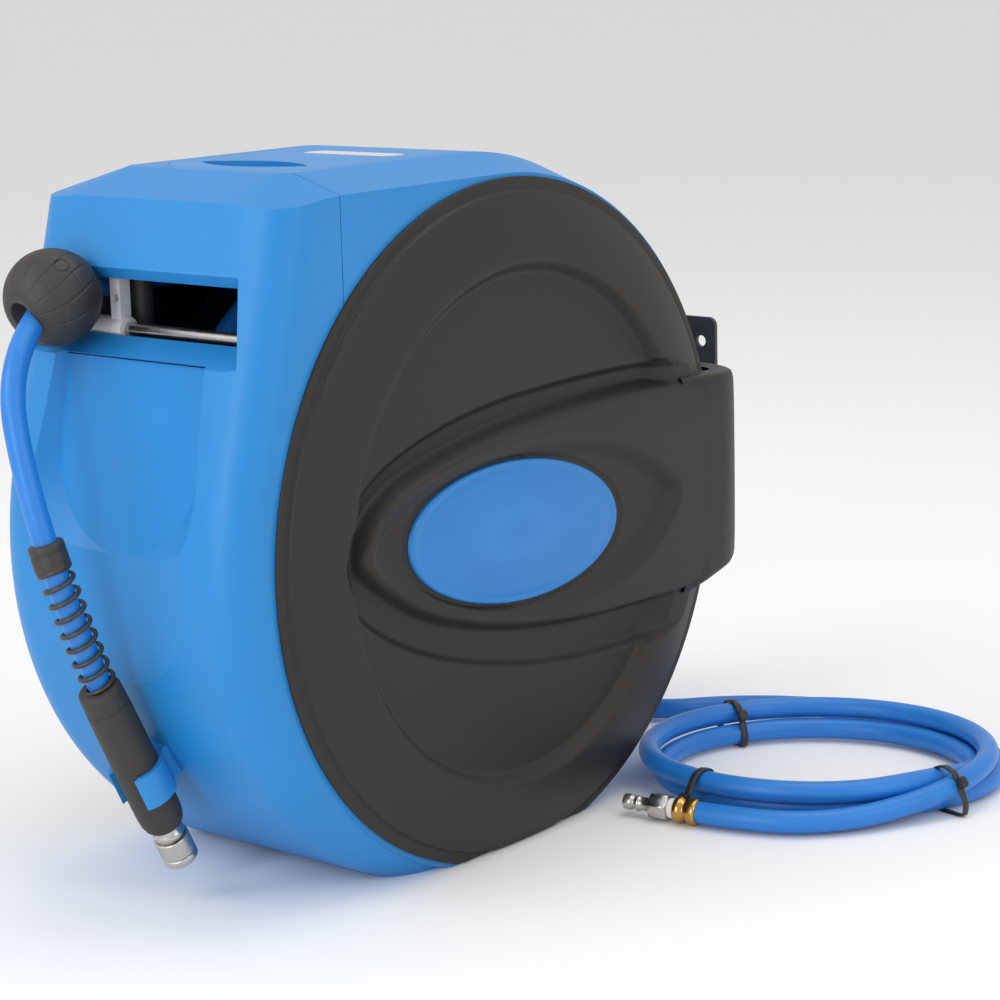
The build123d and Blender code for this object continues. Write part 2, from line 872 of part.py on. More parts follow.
with BuildPart() as air_swivel:
    with BuildSketch(Plane.XY.offset(axis_height)):
        with Locations((swivel_x, 0)):
            Circle(swivel_nipple_radius)
    extrude(amount=drum_core_radius)
    add(
        x_cylinder(drum_core_radius - drum_core_wall, -drum_half_width, drum_half_width),
        mode=Mode.INTERSECT,
    )
    add(x_cylinder(swivel_radius, swivel_x - swivel_length / 2, swivel_x + swivel_length / 2))
    add(
        x_cylinder(axle_radius + running_gap, swivel_x - swivel_length, swivel_x + swivel_length),
        mode=Mode.SUBTRACT,
    )
    add(seal_rings(axle_radius), mode=Mode.SUBTRACT)
air_swivel.part.label = "air_swivel"
export_step(air_swivel.part, "parts/air_swivel.step")

with BuildPart() as swivel_seals:
    add(seal_rings(axle_radius + running_gap))
swivel_seals.part.label = "swivel_seals"
export_step(swivel_seals.part, "parts/swivel_seals.step")

# ---------------------------------------------------------------- ratchet and pawl
ratchet_start = -flange_outer_x - ratchet_thickness
with BuildPart() as ratchet_ring:
    with BuildSketch(Plane.YZ.offset(ratchet_start)):
        with Locations((0, axis_height)):
            Circle(ratchet_root_radius)
            Circle(ratchet_inner_radius, mode=Mode.SUBTRACT)
        for tooth in range(ratchet_teeth):
            begin = 2 * pi * tooth / ratchet_teeth
            end = begin + 1.4 * pi / ratchet_teeth
            with BuildLine():
                Polyline(
                    up((ratchet_root_radius - 2) * cos(begin), (ratchet_root_radius - 2) * sin(begin)),
                    up(ratchet_radius * cos(begin), ratchet_radius * sin(begin)),
                    up((ratchet_root_radius - 1) * cos(end), (ratchet_root_radius - 1) * sin(end)),
                    close=True,
                )
            make_face()
    extrude(amount=ratchet_thickness)
ratchet_ring.part.label = "ratchet_ring"
export_step(ratchet_ring.part, "parts/ratchet_ring.step")

pawl_place = up(pawl_pin_y, pawl_pin_z)
with BuildPart() as pawl_pin:
    pin_end = -(case_half_width + dish_floor - cover_wall)
    add(x_cylinder(pawl_pin_radius, pin_end, -flange_outer_x - side_gap, pawl_place))
    add(x_cylinder(pawl_pin_radius + 3, pin_end, ratchet_start + 0.5 - side_gap, pawl_place))
pawl_pin.part.label = "pawl_pin"
export_step(pawl_pin.part, "parts/pawl_pin.step")

with BuildPart() as pawl:
    tip_radius = ratchet_radius + 1.2
    with BuildSketch(Plane.YZ.offset(ratchet_start + 0.5)):
        with Locations(pawl_place):
            Circle(pawl_pin_radius + 4)
        with BuildLine():
            Polyline(
                (pawl_pin_y - 6, axis_height + pawl_pin_z + 2),
                up((tip_radius + 5) * cos(1.35), (tip_radius + 5) * sin(1.35)),
                up(tip_radius * cos(1.38), tip_radius * sin(1.38)),
                up((tip_radius + 1) * cos(1.22), (tip_radius + 1) * sin(1.22)),
                (pawl_pin_y, axis_height + pawl_pin_z - 6),
                close=True,
            )
        make_face()
        with Locations(pawl_place):
            Circle(pawl_pin_radius + running_gap, mode=Mode.SUBTRACT)
    extrude(amount=ratchet_thickness - 1)
pawl.part.label = "pawl"
export_step(pawl.part, "parts/pawl.step")

# ---------------------------------------------------------------- brass elbow on the axle's end
with BuildPart() as inlet_elbow:
    elbow_plane = Plane((elbow_x, 0, axis_height), z_dir=elbow_heading)
    with BuildSketch(elbow_plane):
        Circle(elbow_nipple_radius)
    extrude(amount=elbow_reach)
    add(x_cylinder(elbow_body_radius, -boss_start["left"], axle_shoulder_x))
    add(x_cylinder(axle_radius, -boss_bore_end["left"], -boss_start["left"]))
    add(
        x_cylinder(axle_spigot_radius, axle_shoulder_x - axle_spigot_length, axle_shoulder_x),
        mode=Mode.SUBTRACT,
    )
inlet_elbow.part.label = "inlet_elbow"
export_step(inlet_elbow.part, "parts/inlet_elbow.step")

# ---------------------------------------------------------------- level wind
screw_place = (screw_y, screw_z)
with BuildPart() as drum_pulley:
    add(x_cylinder(pulley_radius, pulley_x, pulley_x + pulley_width))
    add(x_cylinder(bush_radius + 2, pulley_x, -flange_outer_x))
    add(x_cylinder(axle_radius + side_gap, pulley_x, -flange_outer_x), mode=Mode.SUBTRACT)
drum_pulley.part.label = "drum_pulley"
export_step(drum_pulley.part, "parts/drum_pulley.step")

with BuildPart() as level_screw:
    add(x_cylinder(screw_radius, screw_left_end, screw_right_end, screw_place))
    journal_end = guide_plate_x + guide_plate_thickness + 1
    add(x_cylinder(screw_journal_radius, -journal_end, journal_end, screw_place))
level_screw.part.label = "level_screw"
export_step(level_screw.part, "parts/level_screw.step")

with BuildPart() as screw_pulley:
    add(x_cylinder(pulley_radius, pulley_x, pulley_x + pulley_width, screw_place))
    add(
        x_cylinder(screw_journal_radius, pulley_x, pulley_x + pulley_width, screw_place),
        mode=Mode.SUBTRACT,
    )
screw_pulley.part.label = "screw_pulley"
export_step(screw_pulley.part, "parts/screw_pulley.step")

belt_run = Vector(0, screw_y, screw_z - axis_height)
belt_length = belt_run.length
belt_along = belt_run.normalized()
belt_out = Vector(0, -belt_along.Z, belt_along.Y) * -1
belt_inner = pulley_radius + belt_gap
belt_outer = belt_inner + belt_thickness
belt_middle = Vector(pulley_x, 0, axis_height) + belt_run / 2
belt_plane = Plane(belt_middle, x_dir=belt_along, z_dir=(1, 0, 0))
with BuildPart() as timing_belt:
    with BuildSketch(belt_plane):
        SlotCenterToCenter(belt_length, 2 * belt_outer)
        SlotCenterToCenter(belt_length, 2 * belt_inner, mode=Mode.SUBTRACT)
    extrude(amount=pulley_width)
timing_belt.part.label = "timing_belt"
export_step(timing_belt.part, "parts/timing_belt.step")

with BuildPart() as belt_shoe:
    shoe_start = -(case_half_width + dish_floor - cover_wall)
    shoe_middle = belt_middle + belt_out * (belt_outer + shoe_height / 2)
    shoe_plane = Plane(
        (shoe_start, shoe_middle.Y, shoe_middle.Z),
        x_dir=belt_along,
        z_dir=(1, 0, 0),
    )
    with BuildSketch(shoe_plane):
        Rectangle(shoe_length, shoe_height)
    extrude(amount=pulley_x + pulley_width - shoe_start)
belt_shoe.part.label = "belt_shoe"
export_step(belt_shoe.part, "parts/belt_shoe.step")

with BuildPart() as guide_rod:
    rod_end = guide_plate_x + guide_plate_thickness
    add(x_cylinder(rod_radius, -rod_end, rod_end, (rod_y, rod_z)))
guide_rod.part.label = "guide_rod"
export_step(guide_rod.part, "parts/guide_rod.step")

with BuildPart() as guide_plates:
    with BuildSketch(Plane.YZ.offset(guide_plate_x)):
        with Locations(((guide_front_y + guide_rear_y) / 2, (guide_bottom + guide_top) / 2)):
            RectangleRounded(guide_rear_y - guide_front_y, guide_top - guide_bottom, 5)
        with Locations(screw_place):
            Circle(screw_journal_radius + running_gap, mode=Mode.SUBTRACT)
        with Locations((rod_y, rod_z)):
            Circle(rod_radius, mode=Mode.SUBTRACT)
    extrude(amount=guide_plate_thickness)
    with BuildSketch(Plane.YZ.offset(guide_plate_x + guide_plate_thickness)):
        with Locations((guide_rear_y - 14, (screw_z + rod_z) / 2 + 2)):
            Rectangle(15, 24)
    extrude(amount=case_half_width - wall - guide_plate_x - guide_plate_thickness)
    mirror(about=Plane.YZ)
guide_plates.part.label = "guide_plates"
export_step(guide_plates.part, "parts/guide_plates.step")

roller_places = (
    (carriage_x - roller_offset, roller_y),
    (carriage_x + roller_offset, roller_y),
)
with BuildPart() as carriage:
    for low, high, front_y in (
        (carriage_base_bottom, carriage_base_top, rod_y + rod_radius),
        (carriage_bridge_bottom, carriage_bridge_top, rod_y - post_width / 2),
    ):
        with BuildSketch(Plane.XY.offset(low)):
            with Locations((carriage_x, (carriage_rear_y + front_y) / 2)):
                RectangleRounded(2 * carriage_half_width, carriage_rear_y - front_y, 3)
        extrude(amount=high - low)
    carriage_ends = (carriage_x - carriage_half_width, carriage_x + carriage_half_width)
    add(x_cylinder(rod_sleeve_radius, *carriage_ends, (rod_y, rod_z)))
    with BuildSketch(Plane.XY.offset(rod_z)):
        with Locations((carriage_x - post_offset, rod_y), (carriage_x + post_offset, rod_y)):
            Rectangle(post_width, post_width)
    extrude(amount=carriage_bridge_top - rod_z)
    with BuildSketch(Plane.YZ.offset(carriage_x - nut_half_width)):
        with Locations((screw_y, (nut_bottom + carriage_base_bottom + 1) / 2)):
            Rectangle(2 * nut_half_width, carriage_base_bottom + 1 - nut_bottom)
    extrude(amount=2 * nut_half_width)
    with BuildSketch(Plane.XZ.offset(-rod_y)):
        with Locations(
            (carriage_x - post_offset, post_hole_z), (carriage_x + post_offset, post_hole_z)
        ):
            Circle(post_hole_radius)
    extrude(amount=post_width, both=True, mode=Mode.SUBTRACT)
    add(
        x_cylinder(screw_radius + nut_gap, -rear_reach, rear_reach, screw_place),
        mode=Mode.SUBTRACT,
    )
    add(
        x_cylinder(rod_radius + running_gap, -rear_reach, rear_reach, (rod_y, rod_z)),
        mode=Mode.SUBTRACT,
    )
    with BuildSketch(Plane.XY.offset(carriage_base_bottom + 2)):
        with Locations(*roller_places):
            Circle(roller_pin_radius)
    extrude(amount=carriage_bridge_top - carriage_base_bottom - 4, mode=Mode.SUBTRACT)
carriage.part.label = "carriage"
export_step(carriage.part, "parts/carriage.step")

with BuildPart() as roller_pins:
    with BuildSketch(Plane.XY.offset(carriage_base_bottom + 2)):
        with Locations(*roller_places):
            Circle(roller_pin_radius)
    extrude(amount=carriage_bridge_top - carriage_base_bottom - 4)
roller_pins.part.label = "roller_pins"
export_step(roller_pins.part, "parts/roller_pins.step")

for name, place in zip(("left", "right"), roller_places):
    with BuildPart() as roller:
        with BuildSketch(Plane.XY.offset(carriage_base_top + side_gap)):
            with Locations(place):
                Circle(roller_radius)
                Circle(roller_pin_radius + running_gap, mode=Mode.SUBTRACT)
        extrude(amount=carriage_bridge_bottom - carriage_base_top - 2 * side_gap)
    roller.part.label = f"feed_roller_{name}"
    export_step(roller.part, f"parts/feed_roller_{name}.step")

# ---------------------------------------------------------------- ball stop
ball_plane = Plane(ball_centre, x_dir=(1, 0, 0), z_dir=ball_axis)
ball_side = ball_plane.y_dir
with BuildPart() as ball:
    with BuildSketch(ball_plane):
        with BuildLine():
            ThreePointArc((0, -ball_radius), (ball_radius, 0), (0, ball_radius))
            Line((0, ball_radius), (0, -ball_radius))
        make_face()
    revolve(axis=Axis(ball_centre, ball_plane.y_dir))
    with BuildSketch(ball_plane.offset(-ball_flat)):
        Circle(2 * ball_radius)
    extrude(amount=2 * ball_flat, mode=Mode.INTERSECT)
    with BuildSketch(Plane(ball_centre, x_dir=(1, 0, 0), z_dir=ball_hose_axis)):
        Circle(hose_radius)
    extrude(amount=2 * ball_radius, both=True, mode=Mode.SUBTRACT)
screw_spots = (
    (ball_screw_offset, -ball_screw_along),
    (ball_screw_offset, ball_screw_along),
    (-ball_screw_offset, -ball_screw_along),
    (-ball_screw_offset, ball_screw_along),
)
ball_screw_plane = Plane(ball_centre, x_dir=(1, 0, 0), z_dir=ball_side)
for name, facing in (("upper", 1), ("lower", -1)):
    face_plane = ball_screw_plane.offset(facing * ball_split_gap / 2)
    with BuildPart() as ball_half:
        add(ball.part)
        with BuildSketch(face_plane):
            Rectangle(4 * ball_radius, 4 * ball_radius)
        extrude(amount=facing * 2 * ball_radius, mode=Mode.INTERSECT)
        with BuildSketch(ball_screw_plane.offset(-ball_screw_depth)):
            with Locations(*screw_spots):
                Circle(ball_screw_radius)
        extrude(amount=ball_screw_depth + ball_seat, mode=Mode.SUBTRACT)
        with BuildSketch(ball_screw_plane.offset(ball_seat)):
            with Locations(*screw_spots):
                Circle(ball_screw_head)
        extrude(amount=ball_radius, mode=Mode.SUBTRACT)
    ball_half.part.label = f"ball_{name}"
    export_step(ball_half.part, f"parts/ball_{name}.step")

with BuildPart() as ball_screws:
    with BuildSketch(ball_screw_plane.offset(-ball_screw_depth)):
        with Locations(*screw_spots):
            Circle(ball_screw_radius)
    extrude(amount=ball_screw_depth + ball_seat)
    with BuildSketch(ball_screw_plane.offset(ball_seat)):
        with Locations(*screw_spots):
            Circle(ball_screw_head)
    extrude(amount=2.5)
ball_screws.part.label = "ball_screws"
export_step(ball_screws.part, "parts/ball_screws.step")

# ---------------------------------------------------------------- hoses
def bend_radii(points, shares):
    """Bend radius at each inner point, from the share of the shorter run it may use."""
    radii = []
    for before, corner, after, share in zip(points, points[1:], points[2:], shares):
        arriving = corner - before
        leaving = after - corner
        turn = radians(arriving.get_angle(leaving))
        radii.append(share * min(arriving.length, leaving.length) / tan(turn / 2))
    return radii


def tube(name, points, shares, radius):
    """A round hose along straight runs joined by tangent arcs."""
    radii = bend_radii(points, shares)
    with BuildPart() as hose:
        with BuildLine() as route:
            FilletPolyline(*points, radius=radii)
        with BuildSketch(Plane(route.line @ 0, z_dir=route.line % 0)):
            Circle(radius)
        sweep()
    length = sum(edge.length for edge in route.line.edges())
    print(name, "bend radii", [round(value, 1) for value in radii], "length", round(length, 1))
    print(name, "volume", round(hose.part.volume), "expected", round(pi * radius**2 * length))
    return hose.part


feed_points = [
    Vector(-47.0, 12.0, 358.5),
    Vector(-50.5, -60.0, 359.5),
    Vector(-50.0, -130.0, 357.5),
    ball_centre - ball_hose_axis * feed_run_in,
    ball_centre,
]
with BuildPart() as feed_hose:
    add(tube("feed_hose", feed_points, (0.45, 0.45, 0.28), hose_radius))
feed_hose.part.label = "feed_hose"
export_step(feed_hose.part, "parts/feed_hose.step")

grip_top = grip_centre - grip_axis * grip_up
grip_bottom = grip_centre + grip_axis * grip_down
outlet_points = [
    ball_centre,
    ball_centre + ball_hose_axis * outlet_run_out,
    outlet_knee,
    grip_top,
    grip_bottom - grip_axis * 24,
]
outlet_shares = (0.45, 0.2, 0.12)
with BuildPart() as outlet_hose:
    add(tube("outlet_hose", outlet_points, outlet_shares, hose_radius))
outlet_hose.part.label = "outlet_hose"
export_step(outlet_hose.part, "parts/outlet_hose.step")

outlet_radii = bend_radii(outlet_points, outlet_shares)
guard_along = (grip_top - outlet_knee).normalized()
guard_points = [
    grip_top - guard_along * guard_length,
    grip_top,
    grip_top + grip_axis * guard_socket,
]
with BuildPart() as spring_guard:
    with BuildLine():
        FilletPolyline(*guard_points, radius=outlet_radii[2])
    with BuildSketch(Plane(guard_points[0], z_dir=guard_along)):
        Circle(guard_radius)
        Circle(hose_radius, mode=Mode.SUBTRACT)
    sweep()
spring_guard.part.label = "spring_guard"
export_step(spring_guard.part, "parts/spring_guard.step")

# ---------------------------------------------------------------- hand grip and coupler
grip_plane = Plane(grip_top, x_dir=(1, 0, 0), z_dir=grip_axis)
grip_length = grip_up + grip_down
with BuildPart() as hand_grip:
    with BuildSketch(grip_plane):
        Circle(grip_radius)
    extrude(amount=grip_length)
    rims = hand_grip.edges().filter_by(GeomType.CIRCLE)
    fillet(rims, 2.0)
    add(spring_guard.part, mode=Mode.SUBTRACT)
    with BuildSketch(grip_plane):
        Circle(guard_radius + 0.05)
    extrude(amount=guard_socket, mode=Mode.SUBTRACT)
    with BuildSketch(grip_plane):
        Circle(hose_radius)
    extrude(amount=grip_length - 24, mode=Mode.SUBTRACT)
hand_grip.part.label = "hand_grip"
export_step(hand_grip.part, "parts/hand_grip.step")

coupler_plane = Plane(grip_bottom, x_dir=(1, 0, 0), z_dir=grip_axis)
with BuildPart() as coupler_body:
    with BuildSketch(coupler_plane):
        Circle(coupler_radius)
    extrude(amount=coupler_length)
    with BuildSketch(coupler_plane.offset(coupler_length - coupler_lip)):
        Circle(sleeve_radius)
    extrude(amount=coupler_lip)
    with BuildSketch(coupler_plane.offset(coupler_length - coupler_bore_depth)):
        Circle(coupler_bore_radius)
    extrude(amount=coupler_bore_depth, mode=Mode.SUBTRACT)
coupler_body.part.label = "coupler_body"
export_step(coupler_body.part, "parts/coupler_body.step")

sleeve_start = coupler_length - coupler_lip - side_gap - sleeve_length
with BuildPart() as coupler_sleeve:
    with BuildSketch(coupler_plane.offset(sleeve_start)):
        Circle(sleeve_radius)
        Circle(coupler_radius + running_gap, mode=Mode.SUBTRACT)
    extrude(amount=sleeve_length)
coupler_sleeve.part.label = "coupler_sleeve"
export_step(coupler_sleeve.part, "parts/coupler_sleeve.step")

# ---------------------------------------------------------------- spring clip that parks the grip
clip_plane = Plane(grip_centre, x_dir=(1, 0, 0), z_dir=grip_axis)
with BuildPart() as hose_clip:
    with BuildSketch(clip_plane.offset(-clip_width / 2)):
        Circle(grip_radius + clip_thickness)
        with BuildLine():
            Polyline(
                (-clip_root_width / 2, clip_root_side * clip_root_reach),
                (-clip_root_width / 2, 0),
                (clip_root_width / 2, 0),
                (clip_root_width / 2, clip_root_side * clip_root_reach),
                close=True,
            )
        make_face()
        Circle(grip_radius, mode=Mode.SUBTRACT)
        with BuildLine():
            mouth_half = clip_mouth / 2
            Polyline(
                (-mouth_half - 4, -clip_root_side * 2 * grip_radius),
                (-mouth_half, 0),
                (mouth_half, 0),
                (mouth_half + 4, -clip_root_side * 2 * grip_radius),
                close=True,
            )
        make_face(mode=Mode.SUBTRACT)
    extrude(amount=clip_width)
    add(outside, mode=Mode.SUBTRACT)
hose_clip.part.label = "hose_clip"
export_step(hose_clip.part, "parts/hose_clip.step")

# ---------------------------------------------------------------- air inlet
gland_wall = outside - inside
with BuildPart() as inlet_gland:
    add(y_cylinder(gland_nut_radius, gland_inner_end, gland_outer_end, gland_x, gland_z))
    add(gland_wall, mode=Mode.SUBTRACT)
    add(y_cylinder(gland_radius + 0.4, gland_inner_end, gland_outer_end, gland_x, gland_z))
    add(
        y_cylinder(hose_radius, gland_inner_end - 1, gland_outer_end + 1, gland_x, gland_z),
        mode=Mode.SUBTRACT,
    )
inlet_gland.part.label = "inlet_gland"
export_step(inlet_gland.part, "parts/inlet_gland.step")

elbow_end = Vector(elbow_x, 0, axis_height) + elbow_heading * elbow_reach
inner_points = [
    elbow_end,
    elbow_end + elbow_heading * 60,
    Vector(gland_x, 112.0, gland_z),
    Vector(gland_x, inlet_join_y, gland_z),
]
with BuildPart() as inner_inlet_hose:
    add(tube("inner_inlet_hose", inner_points, (0.45, 0.45), hose_radius))
inner_inlet_hose.part.label = "inner_inlet_hose"
export_step(inner_inlet_hose.part, "parts/inner_inlet_hose.step")


def coil_section(grow):
    """Outer shape of three hoses lying together, two below and one above."""
    middle = (coil_inner_radius + coil_outer_radius) / 2
    top = coil_foot + coil_height
    with BuildSketch(Plane(coil_centre, x_dir=(1, 0, 0), z_dir=(0, -1, 0))) as section:
        with BuildLine():
            Polyline(
                (coil_inner_radius + 3, coil_foot),
                (coil_outer_radius - 3, coil_foot),
                (coil_outer_radius, coil_foot + 4),
                (coil_outer_radius, coil_foot + hose_radius + 3),
                (middle + hose_radius, top - 4),
                (middle + hose_radius - 3, top),
                (middle - hose_radius + 3, top),
                (middle - hose_radius, top - 4),
                (coil_inner_radius, coil_foot + hose_radius + 3),
                (coil_inner_radius, coil_foot + 4),
                close=True,
            )
        make_face()
        if grow:
            offset(amount=grow, kind=Kind.INTERSECTION)
    return section.sketch


coil_axis = Axis(coil_centre, (0, 0, 1))
coil_solid = revolve(coil_section(0), axis=coil_axis)
with BuildPart() as inlet_coil:
    add(coil_solid)
inlet_coil.part.label = "inlet_coil"
export_step(inlet_coil.part, "parts/inlet_coil.step")

inlet_points = [
    Vector(gland_x, inlet_join_y, gland_z),
    Vector(gland_x, 212.0, gland_z),
    Vector(-45.0, 243.0, floor_hose_z),
    Vector(24.0, 247.0, floor_hose_z),
    Vector(60.0, 300.0, floor_hose_z),
    Vector(112.0, 337.0, floor_hose_z),
    Vector(170.0, 351.0, floor_hose_z),
    Vector(224.0, 333.0, floor_hose_z),
]
with BuildPart() as inlet_hose:
    add(tube("inlet_hose", inlet_points, (0.45,) * 6, hose_radius))
    add(coil_solid, mode=Mode.SUBTRACT)
inlet_hose.part.label = "inlet_hose"
export_step(inlet_hose.part, "parts/inlet_hose.step")

tail_points = [
    Vector(262.0, 117.0, plug_end.Z),
    Vector(224.0, 86.0, plug_end.Z),
    plug_end,
]
with BuildPart() as inlet_tail:
    add(tube("inlet_tail", tail_points, (0.45,), hose_radius))
    add(coil_solid, mode=Mode.SUBTRACT)
inlet_tail.part.label = "inlet_tail"
export_step(inlet_tail.part, "parts/inlet_tail.step")

tie_band = revolve(coil_section(tie_thickness), axis=coil_axis) - coil_solid
with BuildPart() as cable_ties:
    add(tie_band)
    with BuildSketch(Plane.XY):
        with Locations(coil_centre):
            for tie_angle in tie_angles:
                with Locations(Rot(0, 0, tie_angle) * Pos(coil_outer_radius, 0)):
                    Rectangle(2 * coil_inner_radius, tie_width)
    extrude(amount=3 * coil_height, mode=Mode.INTERSECT)
    with BuildSketch(Plane.XY.offset(coil_foot + coil_height + tie_thickness)):
        with Locations(coil_centre):
            for tie_angle in tie_angles:
                middle = (coil_inner_radius + coil_outer_radius) / 2
                with Locations(Rot(0, 0, tie_angle) * Pos(middle, 0)):
                    Rectangle(tie_head, tie_width + 2)
    extrude(amount=4)
cable_ties.part.label = "cable_ties"
export_step(cable_ties.part, "parts/cable_ties.step")

tail_along = (plug_end - tail_points[1]).normalized()
fitting_steps = (
    ("hose_ferrule", "round", ferrule_radius, ferrule_length),
    ("thread_tape", "round", tape_radius, tape_length),
    ("inlet_plug", "hex", hex_radius, hex_length),
)
along = 0.0
for name, form, radius, length in fitting_steps:
    with BuildPart() as fitting:
        with BuildSketch(Plane(plug_end + tail_along * along, z_dir=tail_along)):
            if form == "hex":
                RegularPolygon(radius, 6)
            else:
                Circle(radius)
        extrude(amount=length)
        if form == "hex":
            with BuildSketch(Plane(plug_end + tail_along * (along + length), z_dir=tail_along)):
                Circle(nipple_radius)
            extrude(amount=nipple_length)
            end_rim = fitting.edges().filter_by(GeomType.CIRCLE).sort_by_distance(plug_end)[-1]
            chamfer(end_rim, 1.0)
    along = along + length
    fitting.part.label = name
    export_step(fitting.part, f"parts/{name}.step")

# ---------------------------------------------------------------- hinge ears and wall bracket
ear_levels = (axis_height + ear_height, axis_height - ear_height)
with BuildPart() as hinge_ears:
    for level in ear_levels:
        with BuildSketch(Plane.XZ.offset(-arm_rear_y)):
            with Locations((0, level)):
                RectangleRounded(2 * ear_half_width, knuckle_height + 8, 4)
        extrude(amount=-ear_plate)
        with BuildSketch(Plane.XY.offset(level - knuckle_height / 2)):
            with Locations((0, hinge_y)):
                Circle(knuckle_radius)
            with Locations((0, (arm_rear_y + hinge_y) / 2)):
                Rectangle(2 * knuckle_radius - 4, hinge_y - arm_rear_y)
        extrude(amount=knuckle_height)
    with BuildSketch(Plane.XY.offset(axis_height - bracket_half_height)):
        with Locations((0, hinge_y)):
            Circle(hinge_pin_radius + running_gap)
    extrude(amount=2 * bracket_half_height, mode=Mode.SUBTRACT)
    with BuildSketch(Plane.XZ.offset(-arm_rear_y)):
        for level in ear_levels:
            with Locations((-ear_screw_x, level), (ear_screw_x, level)):
                Circle(ear_screw_radius)
    extrude(amount=-ear_plate, mode=Mode.SUBTRACT)
hinge_ears.part.label = "hinge_ears"
export_step(hinge_ears.part, "parts/hinge_ears.step")

with BuildPart() as ear_screws:
    for radius, start, end in (
        (ear_screw_radius, arm_rear_y, arm_rear_y + ear_plate + 1),
        (ear_screw_head, arm_rear_y + ear_plate, arm_rear_y + ear_plate + 2.5),
    ):
        with BuildSketch(Plane.XZ.offset(-start)):
            for level in ear_levels:
                with Locations((-ear_screw_x, level), (ear_screw_x, level)):
                    Circle(radius)
        extrude(amount=start - end)
ear_screws.part.label = "ear_screws"
export_step(ear_screws.part, "parts/ear_screws.step")

lug_offset = ear_height + knuckle_height / 2 + side_gap
lug_starts = (axis_height + lug_offset, axis_height - lug_offset - lug_thickness)
with BuildPart() as wall_bracket:
    with BuildSketch(Plane.XZ.offset(-bracket_y)):
        with Locations((0, axis_height)):
            RectangleRounded(2 * bracket_half_width, 2 * bracket_half_height, 6)
            with GridLocations(2 * bracket_hole_x, 2 * bracket_hole_z, 2, 2):
                Circle(bracket_hole_radius, mode=Mode.SUBTRACT)
    extrude(amount=bracket_plate)
    for start in lug_starts:
        with BuildSketch(Plane.XY.offset(start)):
            with Locations((0, hinge_y)):
                Circle(knuckle_radius)
            with BuildLine():
                Polyline(
                    (-knuckle_radius, hinge_y),
                    (knuckle_radius, hinge_y),
                    (knuckle_radius + 8, bracket_y - bracket_plate),
                    (-knuckle_radius - 8, bracket_y - bracket_plate),
                    close=True,
                )
            make_face()
            with Locations((0, hinge_y)):
                Circle(hinge_pin_radius, mode=Mode.SUBTRACT)
        extrude(amount=lug_thickness)
wall_bracket.part.label = "wall_bracket"
export_step(wall_bracket.part, "parts/wall_bracket.step")

with BuildPart() as hinge_pin:
    pin_bottom = lug_starts[1] - 2
    pin_top = lug_starts[0] + lug_thickness
    with BuildSketch(Plane.XY.offset(pin_bottom)):
        with Locations((0, hinge_y)):
            Circle(hinge_pin_radius)
    extrude(amount=pin_top - pin_bottom)
    with BuildSketch(Plane.XY.offset(pin_top)):
        with Locations((0, hinge_y)):
            Circle(hinge_pin_radius + 2.5)
    extrude(amount=3)
hinge_pin.part.label = "hinge_pin"
export_step(hinge_pin.part, "parts/hinge_pin.step")
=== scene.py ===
"""Looks of the enclosed automatic air hose reel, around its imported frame.

Blender works in metres. Sizes here are millimetres until a helper scales them by MM.
+Z is up, the outlet hose leaves at -Y, and the drum turns about X.
"""
import bmesh
import bpy
import json
import math
import numpy as np
from mathutils import Matrix, Vector


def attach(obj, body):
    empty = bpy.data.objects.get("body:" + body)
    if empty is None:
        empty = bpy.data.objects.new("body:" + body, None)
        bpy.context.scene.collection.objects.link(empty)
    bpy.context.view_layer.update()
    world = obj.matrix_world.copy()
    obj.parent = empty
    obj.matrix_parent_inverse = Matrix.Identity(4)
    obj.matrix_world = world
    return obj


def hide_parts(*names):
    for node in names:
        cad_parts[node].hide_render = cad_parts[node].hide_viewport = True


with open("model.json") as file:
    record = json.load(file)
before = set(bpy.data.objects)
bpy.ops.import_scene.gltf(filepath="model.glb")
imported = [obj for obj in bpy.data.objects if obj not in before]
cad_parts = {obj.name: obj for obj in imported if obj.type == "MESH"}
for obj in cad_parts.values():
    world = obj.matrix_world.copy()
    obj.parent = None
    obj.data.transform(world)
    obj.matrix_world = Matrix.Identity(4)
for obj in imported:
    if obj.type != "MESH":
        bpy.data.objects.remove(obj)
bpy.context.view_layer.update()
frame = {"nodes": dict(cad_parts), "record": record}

MM = 0.001
AXIS_Z = 200.0           # drum axis above the floor
HALF_WIDTH = 100.0       # middle plane to a flat side of the case
HOSE_RADIUS = 7.0

# ---------------------------------------------------------------- camera
def make_camera(place, azimuth, elevation, roll, lens):
    """A camera at a place in metres, turned by angles in degrees."""
    data = bpy.data.cameras.new("camera")
    camera = bpy.data.objects.new("camera", data)
    bpy.context.collection.objects.link(camera)
    azimuth, elevation = math.radians(azimuth), math.radians(elevation)
    back = Vector((
        math.sin(azimuth) * math.cos(elevation),
        -math.cos(azimuth) * math.cos(elevation),
        math.sin(elevation),
    ))
    tip = Matrix.Rotation(math.radians(roll), 4, "Z").to_quaternion()
    camera.rotation_mode = "QUATERNION"
    camera.rotation_quaternion = (-back).to_track_quat("-Z", "Y") @ tip
    camera.location = place
    data.sensor_width = 36.0
    data.lens = lens
    data.clip_start = 0.05
    data.clip_end = 30.0
    return camera


bpy.context.scene.camera = make_camera((1.104, -1.244, 0.551), 39.18, 11.9, -1.45, 97.24)
bpy.context.scene.view_settings.view_transform = "Standard"


# ---------------------------------------------------------------- materials
def tint(nodes, links, shade, color, amount):
    """Blend a surface's colour towards another one by an amount that varies over it."""
    mix = nodes.new("ShaderNodeMix")
    mix.data_type = "RGBA"
    mix.inputs["B"].default_value = (*[min(1.0, c) for c in color], 1)
    links.new(amount, mix.inputs["Factor"])
    links.new(shade, mix.inputs["A"])
    return mix.outputs["Result"]


